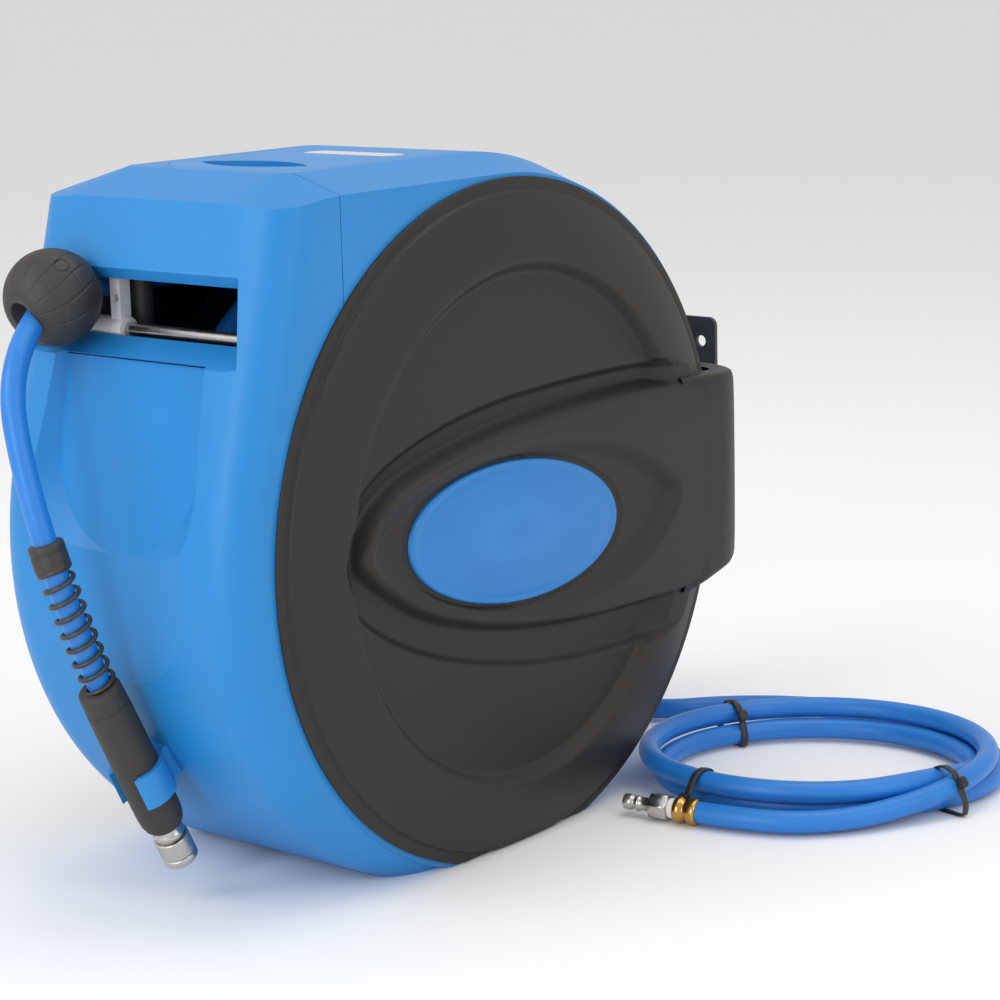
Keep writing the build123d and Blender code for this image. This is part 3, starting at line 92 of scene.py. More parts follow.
def remap(nodes, links, value, low, high, most):
    """Turn a value between low and high into one between nothing and most."""
    window = nodes.new("ShaderNodeMapRange")
    window.inputs["From Min"].default_value = low
    window.inputs["From Max"].default_value = high
    window.inputs["To Max"].default_value = most
    links.new(value, window.inputs["Value"])
    return window.outputs["Result"]


def noise(nodes, links, vector, scale, detail):
    """A noise texture over a surface."""
    texture = nodes.new("ShaderNodeTexNoise")
    texture.inputs["Scale"].default_value = scale
    texture.inputs["Detail"].default_value = detail
    links.new(vector, texture.inputs["Vector"])
    return texture


def add_grain(nodes, links, bsdf, vector, strength, scale, brushed):
    """Fine bumps: even grain, or brush marks where the texture is stretched."""
    if brushed:
        mapping = nodes.new("ShaderNodeMapping")
        mapping.inputs["Scale"].default_value = brushed
        links.new(vector, mapping.inputs["Vector"])
        vector = mapping.outputs["Vector"]
    fine = noise(nodes, links, vector, scale, 3.0)
    bump = nodes.new("ShaderNodeBump")
    bump.inputs["Strength"].default_value = strength
    bump.inputs["Distance"].default_value = 0.0006
    links.new(fine.outputs["Fac"], bump.inputs["Height"])
    links.new(bump.outputs["Normal"], bsdf.inputs["Normal"])


def material(name, color, roughness, metallic=0.0, vary=0.06, vary_scale=18.0, grain=0.0,
             grain_scale=900.0, spots=0.0, specular=0.5, rough_vary=0.06, brushed=None, painted_edge_highlight=0.0):
    """A surface with uneven colour and gloss, pale spots, grain, and convex edges lightened as a
    painted highlight.
    """
    m = bpy.data.materials.new(name)
    m.use_nodes = True
    nodes, links = m.node_tree.nodes, m.node_tree.links
    bsdf = nodes["Principled BSDF"]
    bsdf.inputs["Metallic"].default_value = metallic
    bsdf.inputs["Specular IOR Level"].default_value = specular
    surface = nodes.new("ShaderNodeTexCoord").outputs["Object"]
    patch = noise(nodes, links, surface, vary_scale, 6.0)
    patch.inputs["Roughness"].default_value = 0.6
    ramp = nodes.new("ShaderNodeValToRGB")
    dark, light = ramp.color_ramp.elements
    dark.position = 0.3
    light.position = 0.7
    dark.color = (*[c * (1 - vary) for c in color], 1)
    light.color = (*[min(1.0, c * (1 + vary)) for c in color], 1)
    links.new(patch.outputs["Fac"], ramp.inputs["Fac"])
    shade = ramp.outputs["Color"]
    if spots:
        flecks = noise(nodes, links, surface, 60.0, 8.0)
        amount = remap(nodes, links, flecks.outputs["Fac"], 0.66, 0.76, spots)
        shade = tint(nodes, links, shade, [c * 1.6 + 0.05 for c in color], amount)
    # Convex edges are lightened by pointiness: a painted highlight standing in for light caught by
    # rounded edges.
    if painted_edge_highlight:
        pointiness = nodes.new("ShaderNodeNewGeometry").outputs["Pointiness"]
        amount = remap(nodes, links, pointiness, 0.53, 0.62, painted_edge_highlight)
        shade = tint(nodes, links, shade, [c * 1.35 + 0.04 for c in color], amount)
    links.new(shade, bsdf.inputs["Base Color"])
    wobble = nodes.new("ShaderNodeMapRange")
    wobble.inputs["To Min"].default_value = max(0.02, roughness - rough_vary)
    wobble.inputs["To Max"].default_value = min(1.0, roughness + rough_vary)
    links.new(patch.outputs["Fac"], wobble.inputs["Value"])
    links.new(wobble.outputs["Result"], bsdf.inputs["Roughness"])
    if grain:
        add_grain(nodes, links, bsdf, surface, grain, grain_scale, brushed)
    return m


case_blue = material("case_blue", (0.012, 0.215, 0.56), 0.42, vary=0.035, grain=0.10,
                     grain_scale=1500, spots=0.05, specular=0.42, painted_edge_highlight=0.25)
badge_blue = material("badge_blue", (0.008, 0.19, 0.55), 0.30, vary=0.03, grain=0.05,
                      grain_scale=1200, painted_edge_highlight=0.25)
cover_dark = material("cover_dark", (0.017, 0.0145, 0.012), 0.50, vary=0.10, vary_scale=9,
                      grain=0.28, grain_scale=1300, spots=0.03, specular=0.42, rough_vary=0.05,
                      painted_edge_highlight=0.10)
hose_blue = material("hose_blue", (0.016, 0.19, 0.60), 0.38, vary=0.05, vary_scale=30, grain=0.10,
                     grain_scale=700, spots=0.04, specular=0.45)
ball_black = material("ball_black", (0.030, 0.026, 0.023), 0.52, vary=0.12, grain=0.25,
                      spots=0.10, painted_edge_highlight=0.25)
grip_black = material("grip_black", (0.032, 0.028, 0.024), 0.60, vary=0.10, grain=0.35,
                      grain_scale=1100, spots=0.06, painted_edge_highlight=0.12)
rubber_black = material("rubber_black", (0.018, 0.018, 0.018), 0.62, vary=0.1, grain=0.3)
tie_black = material("tie_black", (0.02, 0.019, 0.018), 0.42, vary=0.08, grain=0.1, painted_edge_highlight=0.15)
brass = material("brass", (0.62, 0.36, 0.10), 0.24, metallic=1.0, vary=0.12, vary_scale=60,
                 grain=0.12, grain_scale=400, brushed=(4, 0.3, 0.3))
steel = material("steel", (0.56, 0.54, 0.51), 0.28, metallic=1.0, vary=0.08, vary_scale=50,
                 grain=0.12, grain_scale=350, brushed=(0.3, 3, 3))
knurled = material("knurled", (0.58, 0.54, 0.50), 0.36, metallic=1.0, vary=0.08, grain=0.6,
                   grain_scale=520)
spring_steel = material("spring_steel", (0.055, 0.048, 0.042), 0.38, metallic=0.35, vary=0.15,
                        grain=0.1, painted_edge_highlight=0.3)
white_plastic = material("white_plastic", (0.74, 0.73, 0.76), 0.42, vary=0.04, grain=0.1, painted_edge_highlight=0.1)
tape_white = material("tape_white", (0.86, 0.86, 0.86), 0.6, vary=0.03, grain=0.5, grain_scale=500)
grey_plastic = material("grey_plastic", (0.16, 0.165, 0.17), 0.5, vary=0.06, grain=0.2)
label_grey = material("label_grey", (0.60, 0.60, 0.66), 0.35, vary=0.02, grain=0.03)
painted = material("painted", (0.03, 0.03, 0.032), 0.45, vary=0.08, grain=0.3, grain_scale=600,
                   painted_edge_highlight=0.2)

SLOT_MATERIALS = {
    "case_blue": case_blue,
    "cover_dark": cover_dark,
    "label_grey": label_grey,
    "hose_blue": hose_blue,
    "black_plastic": ball_black,
    "black_rubber": rubber_black,
    "brass": brass,
    "steel": steel,
    "painted_steel": painted,
    "white_plastic": white_plastic,
    "grey_plastic": grey_plastic,
}
NODE_MATERIALS = {
    "badges": badge_blue,
    "rear_oval": badge_blue,
    "cable_ties": tie_black,
    "hand_grip": grip_black,
    "coupler_body": knurled,
    "coupler_sleeve": knurled,
    "thread_tape": tape_white,
    "inlet_plug": steel,
    "spring_guard": spring_steel,
    "feed_roller_left": ball_black,
    "feed_roller_right": ball_black,
}
for entry in frame["record"]["subparts"]:
    node = entry["node"]
    mesh = frame["nodes"][node].data
    mesh.materials.clear()
    mesh.materials.append(NODE_MATERIALS.get(node, SLOT_MATERIALS[entry["material_slot"]]))


# ---------------------------------------------------------------- mesh helpers
def add_object(name, data, look, body):
    """A piece that shows a mesh or curve in one material and rides on a body."""
    piece = bpy.data.objects.new(name, data)
    bpy.context.collection.objects.link(piece)
    data.materials.append(look)
    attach(piece, body)
    return piece


def grid_mesh(name, points, look, body, closed_u=False, closed_v=False, flip=False):
    """A surface over a grid of points, points[u][v], given in millimetres."""
    points = np.asarray(points, float)
    nu, nv = points.shape[:2]
    mesh = bpy.data.meshes.new(name)
    us = nu if closed_u else nu - 1
    vs = nv if closed_v else nv - 1
    faces = []
    for u in range(us):
        for v in range(vs):
            a, b = u * nv + v, u * nv + (v + 1) % nv
            c, d = ((u + 1) % nu) * nv + (v + 1) % nv, ((u + 1) % nu) * nv + v
            faces.append((a, d, c, b) if flip else (a, b, c, d))
    mesh.from_pydata((points.reshape(-1, 3) * MM).tolist(), [], faces)
    mesh.validate()
    mesh.update()
    mesh.polygons.foreach_set("use_smooth", [True] * len(mesh.polygons))
    return add_object(name, mesh, look, body)


def frame_about(axis):
    """An axis at unit length, and two unit vectors square to it."""
    axis = Vector(axis).normalized()
    side = axis.orthogonal().normalized()
    return axis, side, axis.cross(side)


def lathe(name, start, axis, profile, look, body, count=48, wave=None):
    """A turned piece. profile holds (along, radius), and wave(angle, along) scales the radius."""
    axis, side, other = frame_about(axis)
    rows = []
    for turn in range(count):
        angle = 2 * math.pi * turn / count
        out = side * math.cos(angle) + other * math.sin(angle)
        row = []
        for along, radius in profile:
            r = radius * (wave(angle, along) if wave else 1.0)
            row.append(tuple(Vector(start) + axis * along + out * r))
        rows.append(row)
    piece = grid_mesh(name, rows, look, body, closed_u=True)
    bm = bmesh.new()
    bm.from_mesh(piece.data)
    bmesh.ops.remove_doubles(bm, verts=bm.verts, dist=1e-6)
    bmesh.ops.recalc_face_normals(bm, faces=bm.faces)
    bm.to_mesh(piece.data)
    bm.free()
    return piece


def cord_curve(name, points, radius, look, body):
    """One smooth hose along its route's points, in millimetres."""
    data = bpy.data.curves.new(name, "CURVE")
    data.dimensions = "3D"
    spline = data.splines.new("NURBS")
    spline.points.add(len(points) - 1)
    for target, point in zip(spline.points, points):
        target.co = (point[0] * MM, point[1] * MM, point[2] * MM, 1.0)
    spline.order_u = 3
    spline.use_endpoint_u = True
    spline.resolution_u = 12
    data.bevel_depth = radius * MM
    data.bevel_resolution = 8
    data.use_fill_caps = True
    return add_object(name, data, look, body)


def spline_points(curve, count):
    """Points read along a curve's own spline, evenly spaced, in millimetres."""
    bare = curve.data.copy()
    bare.bevel_depth = 0.0
    bare.resolution_u = 48
    probe = bpy.data.objects.new("probe", bare)
    bpy.context.collection.objects.link(probe)
    depsgraph = bpy.context.evaluated_depsgraph_get()
    mesh = bpy.data.meshes.new_from_object(probe.evaluated_get(depsgraph))
    line = np.array([v.co[:] for v in mesh.vertices]) / MM
    bpy.data.objects.remove(probe)
    steps = np.r_[0, np.cumsum(np.linalg.norm(np.diff(line, axis=0), axis=1))]
    wanted = np.linspace(0, steps[-1], count)
    points = np.stack([np.interp(wanted, steps, line[:, k]) for k in range(3)], axis=1)
    return points, steps[-1]


# ---------------------------------------------------------------- outlet hose
BALL = Vector((-52.0, -222.0, 354.0))            # middle of the ball stop
BALL_WAY = Vector((-0.03, -0.93, -0.36)).normalized()
ARCH = Vector((-41.0, -271.0, 330.0))            # where the hose turns down
KNEE = Vector((-14.0, -281.0, 247.0))
CLIP = Vector((4.0, -225.0, 80.0))               # middle of the clip that holds the grip
GRIP_AXIS = Vector((0.0, 0.44, -0.898)).normalized()
GRIP_TOP = CLIP - GRIP_AXIS * 68.0
GRIP_END = CLIP + GRIP_AXIS * 36.0
HOSE_END = GRIP_END - GRIP_AXIS * 24.0           # inside the grip
outlet_route = [BALL, ARCH, KNEE, GRIP_TOP, HOSE_END]
outlet = cord_curve("outlet_hose_line", outlet_route, HOSE_RADIUS, hose_blue, "case")
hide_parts("outlet_hose")

# ---------------------------------------------------------------- inlet hose, with its coil
COIL = Vector((188.0, 203.0, 0.0))               # middle of the coil, on the floor
COIL_RADIUS = 109.2                              # to the middle of the bundle
DEPTH_WAY = Vector((-0.632, 0.775, 0.0))         # the coil is narrower this way
DEPTH_SHARE = 0.88
BUNDLE = 8.3                                     # a strand's middle from the bundle's middle
BUNDLE_HEIGHT = 12.9
COIL_START, COIL_END = 55.0, -748.0              # degrees about the coil, clockwise from above
POINTS_PER_TURN = 20
LOWEST_STRAND = 8.2
TAIL_START = Vector((224.0, 86.0, 9.0))
PLUG = Vector((178.0, 79.5, 9.0))                # end of the hose, in its ferrule


def flatten(spoke):
    """The coil lies a little flatter one way than the other."""
    spoke = Vector(spoke)
    return spoke + DEPTH_WAY * spoke.dot(DEPTH_WAY) * (DEPTH_SHARE - 1.0)


def ray(degrees):
    """A level unit vector at an angle from +X."""
    return Vector((math.cos(math.radians(degrees)), math.sin(math.radians(degrees)), 0))


def twist(angle):
    """How far the bundle of strands has rolled over, in degrees, at a place round the coil."""
    turned = 0.0
    for lap in range(3):
        x = (40.0 - 360.0 * lap - angle) / 90.0
        x = min(1.0, max(0.0, x))
        turned += 120.0 * x * x * (3 - 2 * x)
    return turned


def coil_point(place):
    """The hose's middle at an angle round the coil, where the strands roll over each other."""
    roll = math.radians(-30.0 - twist(place))
    rise = 2.6 * abs(math.sin(math.radians(1.5 * (twist(place) % 120.0))))
    wander = 1.6 * math.sin(math.radians(place * 2.0 + 40))
    wander += 1.0 * math.sin(math.radians(place * 0.5))
    middle = COIL_RADIUS + wander + (3.0 if place == COIL_START else 0.0)
    spoke = flatten(ray(place))
    spoke = spoke * middle + spoke.normalized() * BUNDLE * math.cos(roll)
    height = BUNDLE_HEIGHT + rise + BUNDLE * math.sin(roll)
    return COIL + spoke + Vector((0, 0, max(LOWEST_STRAND, height)))


inlet_route = [
    Vector((-82.0, 174.0, 60.0)),
    Vector((-82.0, 212.0, 60.0)),
    Vector((-45.0, 243.0, 8.6)),
    Vector((24.0, 247.0, 8.6)),
    Vector((60.0, 290.0, 8.6)),
    Vector((112.0, 321.0, 8.6)),
    Vector((172.0, 330.0, 8.6)),
    Vector((222.0, 312.0, 8.8)),
]
coil_steps = int((COIL_START - COIL_END) / 360.0 * POINTS_PER_TURN)
for step in range(coil_steps + 1):
    inlet_route.append(coil_point(COIL_START + (COIL_END - COIL_START) * step / coil_steps))
inlet_route += [Vector((262.0, 117.0, 9.0)), TAIL_START, PLUG]
inlet = cord_curve("inlet_hose_line", inlet_route, HOSE_RADIUS, hose_blue, "case")
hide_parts("inlet_hose", "inlet_coil", "inlet_tail")

# ---------------------------------------------------------------- hose fittings
TAIL = (PLUG - TAIL_START).normalized()
FERRULE_LENGTH, TAPE_LENGTH = 15.0, 4.0
HEX_START, HEX_END = 0.9, 12.5                   # six-sided stretch of the plug
ferrule = lathe("ferrule", PLUG, TAIL, [
    (-1.0, 7.1), (-1.0, 7.9), (0.5, 8.35), (3.4, 8.4), (5.2, 7.9), (6.4, 6.9), (7.4, 6.6),
    (8.4, 6.9), (9.6, 7.9), (11.2, 8.4), (13.6, 8.3), (14.6, 7.6), (15.0, 6.2), (15.0, 0.0),
], brass, "case")
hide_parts("hose_ferrule")
tape = lathe("thread_wrap", PLUG + TAIL * FERRULE_LENGTH, TAIL, [
    (-0.4, 0.0), (-0.4, 6.0), (0.2, 6.4), (1.2, 6.2), (2.1, 6.5), (3.0, 6.3), (3.9, 6.1),
    (4.2, 5.0), (4.2, 0.0),
], tape_white, "case", wave=lambda a, s: 1 + 0.015 * math.sin(5 * a + s * 2))
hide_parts("thread_tape")


def hexagon(angle, along):
    """Scale that turns a round section into a six-sided one with rounded corners."""
    if along > HEX_END or along < HEX_START:
        return 1.0
    sector = (angle % (math.pi / 3)) - math.pi / 6
    return min(1.0, 0.875 / math.cos(sector))


plug = lathe("plug", PLUG + TAIL * (FERRULE_LENGTH + TAPE_LENGTH), TAIL, [
    (0.0, 0.0), (0.0, 7.2), (0.9, 8.5), (1.0, 8.6), (12.4, 8.6), (12.6, 7.4), (14.0, 5.6),
    (14.6, 4.6), (18.0, 4.4), (20.4, 4.5), (21.0, 4.9), (21.6, 5.1), (22.6, 5.1), (23.2, 4.2),
    (24.0, 3.7), (25.2, 3.8), (26.0, 4.8), (26.8, 5.1), (30.6, 5.1), (31.6, 4.9), (32.0, 4.2),
    (32.0, 2.6), (26.0, 2.4), (26.0, 0.0),
], steel, "case", count=72, wave=hexagon)
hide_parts("inlet_plug")


# ---------------------------------------------------------------- cable ties round the bundle
STRAP_CORNERS = [
    (-16.4, 1.1), (16.4, 1.1), (17.6, 8.0), (13.0, 19.0), (7.4, 27.2),
    (0.0, 29.3), (-7.4, 27.2), (-13.0, 19.0), (-17.6, 8.0),
]
STRAP_SECTION = [(-2.3, 0.0), (-2.4, 0.7), (-1.9, 1.15), (1.9, 1.15), (2.4, 0.7), (2.3, 0.0)]
HEAD_SIZE = (7.0, 6.4, 4.6)
HEAD_REACH, HEAD_RISE = 18.5, 14.5


def strap_loop():
    """The strap's path round three strands, as (across, up), with its corners rounded."""
    loop = []
    for (across, up), (next_across, next_up) in zip(
        STRAP_CORNERS, STRAP_CORNERS[1:] + STRAP_CORNERS[:1]
    ):
        loop += [(across, up), ((across + next_across) / 2 * 1.01, (up + next_up) / 2)]
    for _ in range(2):
        loop = [p for a, b in zip(loop, loop[1:] + loop[:1]) for p in (
            (0.75 * a[0] + 0.25 * b[0], 0.75 * a[1] + 0.25 * b[1]),
            (0.25 * a[0] + 0.75 * b[0], 0.25 * a[1] + 0.75 * b[1]),
        )]
    return loop


def tie_head(name, lane, out, along, turn):
    """The ratchet head, a rounded block on the strap."""
    offset = out * math.sin(turn) * HEAD_REACH
    place = lane + offset + Vector((0, 0, 13.5 + math.cos(turn) * HEAD_RISE))
    away = (place - lane - Vector((0, 0, 13.0))).normalized()
    facing = Matrix((tuple(away.cross(along)), tuple(along), tuple(away))).transposed().to_4x4()
    bm = bmesh.new()
    bmesh.ops.create_cube(bm, size=1.0)
    bmesh.ops.bevel(bm, geom=bm.edges[:], offset=0.14, segments=3, affect="EDGES")
    bm.transform(Matrix.Diagonal([size * MM for size in HEAD_SIZE] + [1]))
    bm.transform(Matrix.Translation(place * MM) @ facing)
    mesh = bpy.data.meshes.new(name)
    bm.to_mesh(mesh)
    bm.free()
    return add_object(name, mesh, tie_black, "case")


def tie(name, degrees, head_turn):
    """A strap pulled round the coil's strands, with its ratchet head."""
    spoke = ray(degrees)
    along = flatten((-spoke.y, spoke.x, 0)).normalized()
    out = Vector((along.y, -along.x, 0))
    lane = COIL + flatten(spoke * (COIL_RADIUS + 0.6))
    rows = []
    for across, up in strap_loop():
        base = lane + out * across + Vector((0, 0, up))
        away = (out * across + Vector((0, 0, up - 12.0))).normalized()
        rows.append([tuple(base + along * w + away * t) for w, t in STRAP_SECTION])
    strap = grid_mesh(name, rows, tie_black, "case", closed_u=True, closed_v=True)
    return [strap, tie_head(name + "_head", lane, out, along, head_turn)]


ties = []
for index, (degrees, head_turn) in enumerate(((155.0, -0.9), (-10.0, 0.9), (-98.0, 1.5))):
    ties += tie(f"tie_{index}", degrees, head_turn)
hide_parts("cable_ties")

# ---------------------------------------------------------------- spring guard and hand grip
LINE_POINTS = 700
HIDDEN_END = 80.0                                # hose inside the grip
GUARD_LENGTH, GUARD_TUCK, WIRE_INSET = 82.0, 6.0, 6.0
GUARD_TURNS, POINTS_PER_LOOP = 9.0, 16
GUARD_RADIUS, WIRE_RADIUS = 9.3, 1.35
outlet_line, outlet_length = spline_points(outlet, LINE_POINTS)
_, inlet_length = spline_points(inlet, LINE_POINTS)
outlet_steps = np.linspace(0, outlet_length, LINE_POINTS)
guard_start = outlet_length - HIDDEN_END - GUARD_LENGTH
guard_end = outlet_length - HIDDEN_END + GUARD_TUCK


def along_line(s):
    """The point that lies a distance along the outlet hose."""
    return Vector([float(np.interp(s, outlet_steps, outlet_line[:, k])) for k in range(3)])


coil_points = []
loop_points = int(GUARD_TURNS * POINTS_PER_LOOP)
for i in range(loop_points + 1):
    share = i / loop_points
    s = guard_start + WIRE_INSET + (guard_end - guard_start - WIRE_INSET) * share
    here = along_line(s)
    ahead = (along_line(min(outlet_length, s + 1.5)) - along_line(s - 1.5)).normalized()
    side = Vector((1, 0, 0)).cross(ahead).normalized()
    other = ahead.cross(side)
    angle = 2 * math.pi * GUARD_TURNS * share
    out = side * math.cos(angle) + other * math.sin(angle)
    coil_points.append(here + out * GUARD_RADIUS)
guard = cord_curve("spring_guard_wire", coil_points, WIRE_RADIUS, spring_steel, "case")
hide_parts("spring_guard")
guard_top = along_line(guard_start)
guard_heading = (along_line(guard_start + 8) - guard_top).normalized()
collar = lathe("guard_collar", guard_top, guard_heading, [
    (-6.0, 7.0), (-6.0, 9.4), (-5.0, 10.2), (-1.2, 10.3), (-0.6, 9.8), (0.0, 10.3),
    (9.0, 10.4), (10.2, 10.2), (11.2, 9.2), (11.4, 7.4),
], ball_black, "case", wave=lambda a, s: 1 + 0.01 * math.cos(2 * a))

grip_profile = [
    (0.0, 7.0), (0.0, 11.3), (0.8, 12.2), (2.0, 12.6), (12.0, 12.9), (12.8, 12.2),
    (13.4, 12.2), (14.2, 13.0), (20.0, 13.2), (40.0, 13.4), (70.0, 13.5), (86.0, 13.5),
    (92.0, 13.3), (97.0, 12.9), (101.0, 11.8), (103.0, 10.4), (104.0, 8.4), (104.0, 5.0),
]
RIB_SPACING = 5.5
GRIP_STEP = 1.2                                  # fine enough to show the ribs


def grip_ribs(angle, along):
    """Shallow finger ribs down two sides of the grip."""
    side = max(0.0, math.cos(angle * 2.0)) ** 6
    along_part = 0.5 - 0.5 * math.cos(2 * math.pi * along / RIB_SPACING)
    return 1.0 - 0.02 * side * along_part * (1.0 if 22 < along < 90 else 0.0)


grip_steps = []
for (s0, r0), (s1, r1) in zip(grip_profile, grip_profile[1:]):
    parts = max(1, int((s1 - s0) / GRIP_STEP))
    grip_steps += [(s0 + (s1 - s0) * k / parts, r0 + (r1 - r0) * k / parts) for k in range(parts)]
grip_steps.append(grip_profile[-1])
grip = lathe("grip_sleeve", GRIP_TOP, GRIP_AXIS, grip_steps, grip_black, "case",
             count=72, wave=grip_ribs)
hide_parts("hand_grip")

coupler = lathe("coupler_shell", GRIP_END, GRIP_AXIS, [
    (-2.0, 7.6), (0.0, 8.4), (3.0, 8.5), (3.6, 9.3), (8.0, 9.4), (8.0, 9.3), (20.6, 9.3),
    (20.8, 10.2), (21.4, 10.6), (25.0, 10.5), (25.7, 10.0), (26.0, 9.0), (26.0, 5.4),
    (25.2, 5.0), (7.0, 5.0), (7.0, 0.0),
], steel, "case", count=64)
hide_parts("coupler_body")


def knurl(angle, along):
    """Diamond knurling in two bands round the coupler's sleeve."""
    if not (9.0 < along < 13.4 or 15.2 < along < 19.6):
        return 1.0
    one_way = 0.5 + 0.5 * math.cos(40 * angle + 4 * along)
    other_way = 0.5 + 0.5 * math.cos(40 * angle - 4 * along)
    return 1.0 - 0.014 * one_way * other_way


sleeve_steps = [(8.2 + 12.0 * k / 48, 10.5 if 1 < k < 47 else 10.0) for k in range(49)]
sleeve_steps = [(8.2, 9.45)] + sleeve_steps + [(20.2, 9.45)]
sleeve = lathe("coupler_ring", GRIP_END, GRIP_AXIS, sleeve_steps, knurled,
               "coupler_sleeve", count=160, wave=knurl)
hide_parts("coupler_sleeve")

# ---------------------------------------------------------------- hose wound on the drum
POINTS_PER_WINDING = 24


def winding(name, radius, start_x, end_x, turns, skew):
    """One layer of hose round the drum, each turn a little askew."""
    points = []
    for k in range(int(turns * POINTS_PER_WINDING) + 1):
        turn = k / POINTS_PER_WINDING
        angle = 2 * math.pi * turn
        x = start_x + (end_x - start_x) * turn / turns + skew * math.sin(angle)
        r = radius + 1.2 * math.sin(angle * 1.3 + 1.0)
        points.append((x, -r * math.cos(angle), AXIS_Z + r * math.sin(angle)))
    return cord_curve(name, points, HOSE_RADIUS, hose_blue, "drum")


layers = [
    winding("wound_layer_inner", 138.0, -50.0, 50.0, 7.0, 1.5),
    winding("wound_layer_middle", 151.0, 50.0, -46.0, 6.0, 3.0),
    winding("wound_layer_upper", 164.5, -30.0, 50.0, 5.0, 3.0),
    winding("wound_layer_outer", 178.0, 52.0, -24.0, 5.0, 5.0),
]
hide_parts("wound_hose")

# ---------------------------------------------------------------- ribbed ball stop
BALL_RADIUS, BALL_FLAT = 28.0, 23.6              # the flats lie this far from the middle
BALL_STEPS = 60


def ball_wave(angle, along):
    """Grooves round the ball: long ribs along it, cut by a few rings."""
    ribs = math.cos(angle * 15 + 0.9 * math.sin(along / 24.5 * 2.2))
    groove = max(0.0, ribs - 0.93) / 0.07
    ring = max(0.0, math.cos((along + 3.0) * math.pi / 8.5) - 0.94) / 0.06
    depth = 0.022 * groove + 0.014 * ring * (0.5 + 0.5 * math.sin(angle * 7))
    return 1.0 - depth if abs(along) < 23.0 else 1.0 - 0.02 * groove


ball_profile = [(-24.0, 7.6), (-24.0, 10.0), (-24.2, 12.6), (-24.0, 13.9)]
for k in range(BALL_STEPS + 1):
    along = -BALL_FLAT + 2 * BALL_FLAT * k / BALL_STEPS
    ball_profile.append((along, math.sqrt(BALL_RADIUS ** 2 - along ** 2)))
ball_profile += [(24.0, 13.9), (24.3, 12.9), (24.3, 9.4), (23.6, 8.8), (6.0, 8.6), (6.0, 7.0)]
ball = lathe("ball_stop", BALL, BALL_WAY, ball_profile, ball_black, "case",
             count=360, wave=ball_wave)
recess_way = Vector((0.62, -0.28, 0.73)).normalized()
recess = lathe("ball_recess", BALL + recess_way * 24.2, recess_way, [
    (0.0, 0.0), (0.0, 3.4), (3.0, 3.5), (3.8, 3.9), (3.9, 4.4), (3.3, 4.8), (1.0, 4.9),
], rubber_black, "case", count=32)
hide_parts("ball_upper", "ball_lower")
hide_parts("ball_screws")

# ---------------------------------------------------------------- relief of the side covers
def smooth_outline(points):
    """A closed outline with its corners rounded off three times."""
    points = np.array(points, float)
    for _ in range(3):
        after = np.roll(points, -1, axis=0)
        pairs = [0.75 * points + 0.25 * after, 0.25 * points + 0.75 * after]
        points = np.stack(pairs, axis=1).reshape(-1, 2)
    return points


def distance_inside(points, outline):
    """Signed distance to a closed outline, positive inside."""
    a, b = outline, np.roll(outline, -1, axis=0)
    p = points[:, None, :]
    ab = (b - a)[None]
    t = np.clip(((p - a[None]) * ab).sum(-1) / (ab ** 2).sum(-1), 0, 1)
    nearest = a[None] + ab * t[..., None]
    far = np.linalg.norm(p - nearest, axis=-1).min(axis=1)
    y, z = points[:, 0][:, None], points[:, 1][:, None]
    crossing = ((a[:, 1] > z) != (b[:, 1] > z)) & (
        y < (b[:, 0] - a[:, 0]) * (z - a[:, 1]) / (b[:, 1] - a[:, 1] + 1e-12) + a[:, 0]
    )
    inside = crossing.sum(axis=1) % 2 == 1
    return np.where(inside, far, -far)


# Outlines on the side cover, as (y, height above the axis), from the nose round to the rear.
MOAT = smooth_outline([
    (-166, 8), (-158, 28), (-140, 50), (-96, 68), (-28, 81), (65, 84), (139, 83), (240, 70),
    (240, -90), (141, -100), (92, -101), (19, -95), (-48, -80), (-102, -61), (-145, -36),
    (-162, -12),
])
ARM = smooth_outline([
    (-155, 6), (-148, 20), (-134, 36), (-105, 50), (-23, 66), (87, 71), (140, 69), (240, 62),
    (240, -62), (171, -77), (115, -75), (51, -73), (-28, -62), (-96, -41), (-136, -14),
    (-150, -3),
])
BOWL = smooth_outline([
    (-149, 10), (-136, 34), (-80, 50), (15, 55), (90, 42), (150, 10), (158, -10), (130, -38),
    (83, -58), (10, -62), (-51, -52), (-105, -34), (-140, -12),
])

# Radii on the side cover, and heights beyond the case's flat side.
RIM_RADIUS, LIP_RADIUS = 208.6, 207.5
STEP_RADIUS = 201.5                              # foot of the step up from the rim
CROWN_RADIUS, CROWN_WIDTH = 200.5, 40.5          # the domed ring
DISH_RADIUS, DISH_SLOPE = 160.5, 9.5             # the dish inside the ring
HUB_RADIUS = 60.0
LIP_HEIGHT, RIM_HEIGHT, STEP_HEIGHT, CROWN_HEIGHT = 2.4, 3.0, 2.2, 9.3
RING_HEIGHT, DISH_DEPTH, HUB_HEIGHT = 14.5, 7.5, 1.2
DISH_HEIGHT = RING_HEIGHT - DISH_DEPTH
MOAT_DEPTH, MOAT_SLOPE = 4.5, 6.0
ARM_FOOT, ARM_HEIGHT, ARM_SLOPE, ARM_DOME = 0.5, 15.0, 9.0, 1.4
BOWL_DEPTH, BOWL_SLOPE = 6.6, 17.0
BADGE_Y, BADGE_Z, BADGE_TILT = -9.0, -2.0, math.radians(-5.3)
BADGE_SEAT = 9.4
LOWEST_EDGE = 1.2                                # above the floor


def ease(x):
    """A smooth step from nothing to one."""
    x = np.clip(x, 0, 1)
    return x * x * (3 - 2 * x)


def badge_distance(points):
    """About how far each place lies outside the badge's oval, in millimetres."""
    y, z = points[:, 0] - BADGE_Y, points[:, 1] - BADGE_Z
    u = y * math.cos(BADGE_TILT) + z * math.sin(BADGE_TILT)
    v = -y * math.sin(BADGE_TILT) + z * math.cos(BADGE_TILT)
    return (np.sqrt((u / 100.5) ** 2 + (v / 44.0) ** 2) - 1.0) * 60.0


